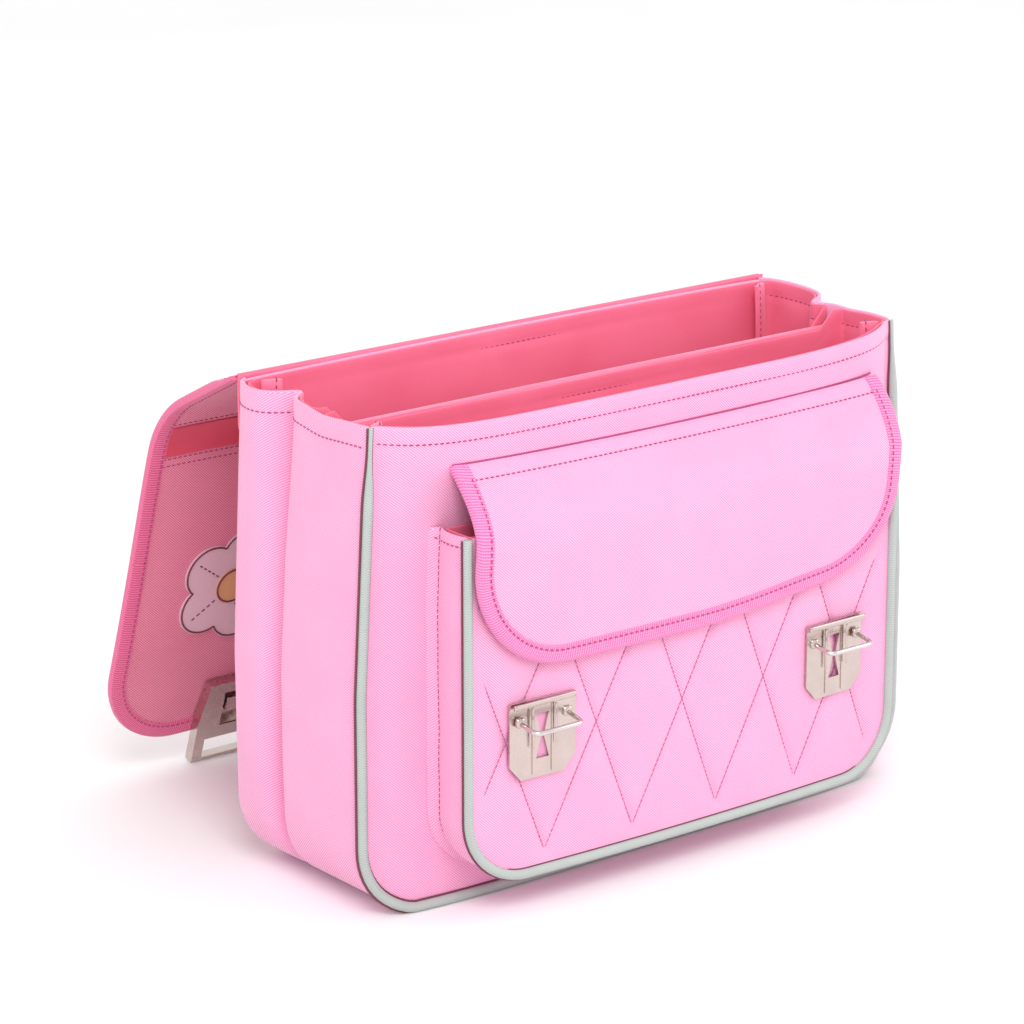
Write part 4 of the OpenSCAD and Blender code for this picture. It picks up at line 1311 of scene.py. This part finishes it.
def handle():
    """A grip of rolled webbing between its two rings."""
    y0, z0 = (float(v) for v in flap_surface(0.0, 40.0, 9.0 - float(flap_wave(0.0, 40.0)))[1:])
    r, half = 14.0, 42.0
    leg = 45.0 - r - 9.0
    down = np.linspace(0, leg + 7.0, 16)
    a = np.radians(np.linspace(180, 270, 14))[1:]
    left = np.stack([-half + 0 * down, -1.5 - down], 1)
    bend = np.stack([-half + r + r * np.cos(a), -9 - leg + r * np.sin(a)], 1)
    base = np.stack([np.linspace(-half + r, 0, 16)[1:], np.full(15, -9 - leg - r)], 1)
    line, _ = resample(mirrored(np.concatenate([left, bend, base])), 2.0)
    line = line[line[:, 1] <= -9.0]
    path = stack(line[:, 0], y0, z0 + line[:, 1])
    along = unit(np.gradient(path, axis=0))
    b = Build()
    side = np.cross(along, (0, 1, 0))
    size = np.linspace(-1, 1, len(path))
    flat = smooth(0.74, 0.95, abs(size))
    ring = oval(6.3, 6.3, 20)
    rows = path[:, None] + ring[None, :, :1] * side[:, None] * (1 + 0.15 * flat)[:, None, None] \
        + ring[None, :, 1:] * np.array([0, 1.0, 0]) * (1 - 0.35 * flat)[:, None, None]
    length = np.arange(len(path)) * 2.0
    around = np.linspace(0, 39, 21)
    b.grid(rows, stack(length[:, None], around[None]), close=True)
    for row in (0, -1):
        k = np.linspace(0, 1, 3)[:, None, None]
        strip = rows[row][None] * (1 - k) + path[row][None, None] * k
        b.grid(strip, np.zeros((3, 21, 2)), close=True)
    seam = path + np.array([0, 6.3, 0]) * (1 - 0.35 * flat)[:, None]
    b.stitches(seam[4:-4], (0, 1, 0), 1, pitch=3.4)
    piece = b.piece("handle_rolled_grip", [webbing, stitch], "handle", "webbing", ("handle_grip",))


def lock_fittings():
    """The round wire loops and the folded top strips of the two lower locks."""
    for name, _ in SIDES:
        low, high = (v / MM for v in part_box("lock_loop_" + name))
        plate_low, plate_high = (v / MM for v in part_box("lock_plate_" + name))
        r = 1.3
        middle, root_z = (plate_low[0] + plate_high[0]) / 2, (plate_low[2] + plate_high[2]) / 2 + 11
        x0, x1, y0, y1 = low[0] + r, high[0] - r, high[1] - 0.6, low[1] + r
        bend = 3.6
        a = np.radians(np.linspace(0, 90, 9))
        left = stack(x0 + bend - bend * np.cos(a), y1 + bend - bend * np.sin(a), 0)
        right = stack(x1 - bend + bend * np.sin(a), y1 + bend - bend * np.cos(a), 0)
        leg = np.linspace(0, 1, 6)[:-1]
        legs = [stack(x, y0 + (y1 + bend - y0) * leg, 0) for x in (x0, x1)]
        path = np.concatenate([legs[0], left, right, legs[1][::-1]])
        path[:, 2] = root_z + (low[2] + r - root_z) * (path[:, 1] - y0) / (y1 - y0)
        along = unit(np.gradient(path, axis=0))
        b = Build()
        b.tube(path, np.cross(along, (0, 0, 1)), (0, 0, 1), oval(r, r, 16))
        b.piece("lock_wire_" + name, [chrome], "root", "nickel", ("lock_loop_" + name,))
        f = Build()
        x = np.linspace(plate_low[0] + 0.9, plate_high[0] - 0.9, 24)
        top = plate_high[2] - 1.4
        front = plate_low[1]
        f.tube(stack(x, front - 0.35 + 0 * x, top + 0 * x), (0, 1, 0), (0, 0, 1), oval(0.9, 1.5, 14, 0.7))
        for off in (-7.4, 7.4):
            zz = np.linspace(top - 2.5, top - 24, 16)
            f.tube(stack(middle + off + 0 * zz, front - 0.05 + 0 * zz, zz), (1, 0, 0), (0, 1, 0),
                   oval(0.75, 0.5, 10), scale=1 - 0.4 * smooth(12, 24, top - zz))
        for x_ear in (x0, x1):
            ear = stack(x_ear, np.linspace(front + 1.4, front + 0.3, 4), root_z)
            f.tube(ear, (1, 0, 0), (0, 0, 1), oval(2.9, 2.7, 16, 0.6))
        f.piece("lock_relief_" + name, [nickel], "root", "nickel")


# ---- CAD nodes that stay ----

def dress(nodes, mat, bevel=0.0):
    """Gives CAD nodes their material, and rounds their edges without touching their mesh."""
    for name in nodes:
        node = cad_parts[name]
        node.data.materials.clear()
        node.data.materials.append(mat)
        if bevel:
            flat = node.modifiers.new("flat", "DECIMATE")
            flat.decimate_type = "DISSOLVE"
            flat.angle_limit = math.radians(1)
            rounded = node.modifiers.new("rounded", "BEVEL")
            rounded.width = bevel * MM
            rounded.segments = 3
            rounded.limit_method = "ANGLE"
            rounded.angle_limit = math.radians(40)
            rounded.harden_normals = True
        node.data.polygons.foreach_set("use_smooth", np.ones(len(node.data.polygons), bool))
        node.data.set_sharp_from_angle(angle=math.radians(40))


def hardware():
    both = [name for name, _ in SIDES]
    dress(["lock_plate_" + n for n in both], nickel, 0.3)
    dress(["lock_backing_" + n for n in both] + ["bolt_spring_" + n for n in both], nickel, 0.2)
    dress(["lock_case_" + n for n in both], nickel, 0.5)
    dress(["lock_bolt_" + n for n in both], nickel, 0.3)
    dress(["lock_case_rivets", "handle_rings"], nickel)
    dress(["base_board", "back_board"], board, 0.4)
    dress(["strap_adjuster_" + n for n in both], plastic, 1.0)
    dress(["handle_tabs"], webbing_solid, 0.5)
    dress(["pocket_loop_patch", "pocket_hook_patch"], webbing_solid, 0.1)


def felt(name, light, dark):
    """Webbing and hook tape for parts without a cloth layout."""
    p = Paint(name, 0.85, Sheen_Weight=0.3)
    where = p.place()
    split = p.tree.nodes.new("ShaderNodeSeparateXYZ")
    p.put(split.inputs[0], where)
    ribs = p.wave(split.outputs[0], split.outputs[2], 1.5 * MM, 1.7 * MM)
    fibre = p.noise(where, 1800, 2.0)
    height = p.math("ADD", p.math("MULTIPLY", ribs, 0.6), p.math("MULTIPLY", fibre, 0.5))
    p.colour(p.mix(p.span(height, 0.2, 0.9), dark, light))
    p.bump(height, 0.25 * MM, 0.7)
    return p.mat


webbing_solid = felt("webbing_tabs", (0.93, 0.33, 0.60), (0.66, 0.12, 0.34))


# ---- stage ----

def camera():
    azimuth, elevation = math.radians(-38.4), math.radians(16.8)
    back = Vector((math.sin(azimuth) * math.cos(elevation),
                   -math.cos(azimuth) * math.cos(elevation), math.sin(elevation)))
    data = bpy.data.cameras.new("camera")
    data.lens, data.sensor_width = 140.3, 36
    data.clip_start, data.clip_end = 0.05, 50
    cam = bpy.data.objects.new("camera", data)
    cam.location = (-1.2913, -1.5762, 0.7857)
    cam.rotation_mode = "QUATERNION"
    cam.rotation_quaternion = (-back).to_track_quat("-Z", "Y")
    bpy.context.scene.collection.objects.link(cam)
    bpy.context.scene.camera = cam


def lamp(name, place, target, size, power, colour=(1, 1, 1)):
    data = bpy.data.lights.new(name, "AREA")
    data.shape, data.size, data.energy, data.color = "DISK", size, power, colour
    light = bpy.data.objects.new(name, data)
    light.location = place
    light.rotation_euler = (Vector(target) - Vector(place)).to_track_quat("-Z", "Y").to_euler()
    bpy.context.scene.collection.objects.link(light)


def studio():
    scene = bpy.context.scene
    scene.view_settings.view_transform = "Standard"
    world = bpy.data.worlds.new("studio")
    world.use_nodes = True
    world.node_tree.nodes["Background"].inputs["Color"].default_value = (1, 1, 1, 1)
    world.node_tree.nodes["Background"].inputs["Strength"].default_value = 1.0
    scene.world = world
    lamp("key", (-1.1, -1.6, 1.9), (0, 0, 0.1), 1.2, 28)
    lamp("fill", (1.8, -1.2, 1.0), (0, 0, 0.1), 1.6, 10)
    mesh = bpy.data.meshes.new("floor")
    r = 12.0
    mesh.from_pydata([(-r, -r, 0), (r, -r, 0), (r, r, 0), (-r, r, 0)], [], [(0, 1, 2, 3)])
    floor = bpy.data.objects.new("floor", mesh)
    bpy.context.scene.collection.objects.link(floor)
    p = Paint("floor_paper", 0.9, Specular_IOR_Level=0.1)
    tone = p.noise(p.place(), 3.0, 2.0)
    p.colour(p.mix(p.span(tone, 0.3, 0.7), (0.93, 0.93, 0.93), (0.95, 0.95, 0.95)))
    mesh.materials.append(p.mat)


camera()
studio()
front_panel()
back_panel()
gusset()
hem_stitches()
front_piping()
linings()
divider()
corner_strips()
pocket_front()
pocket_gusset()
pocket_piping()
pocket_lining()
pocket_flap()
flap_root()
flap_sections()
flap_band()
flower()
back_pad()
straps()
handle()
lock_fittings()
hardware()
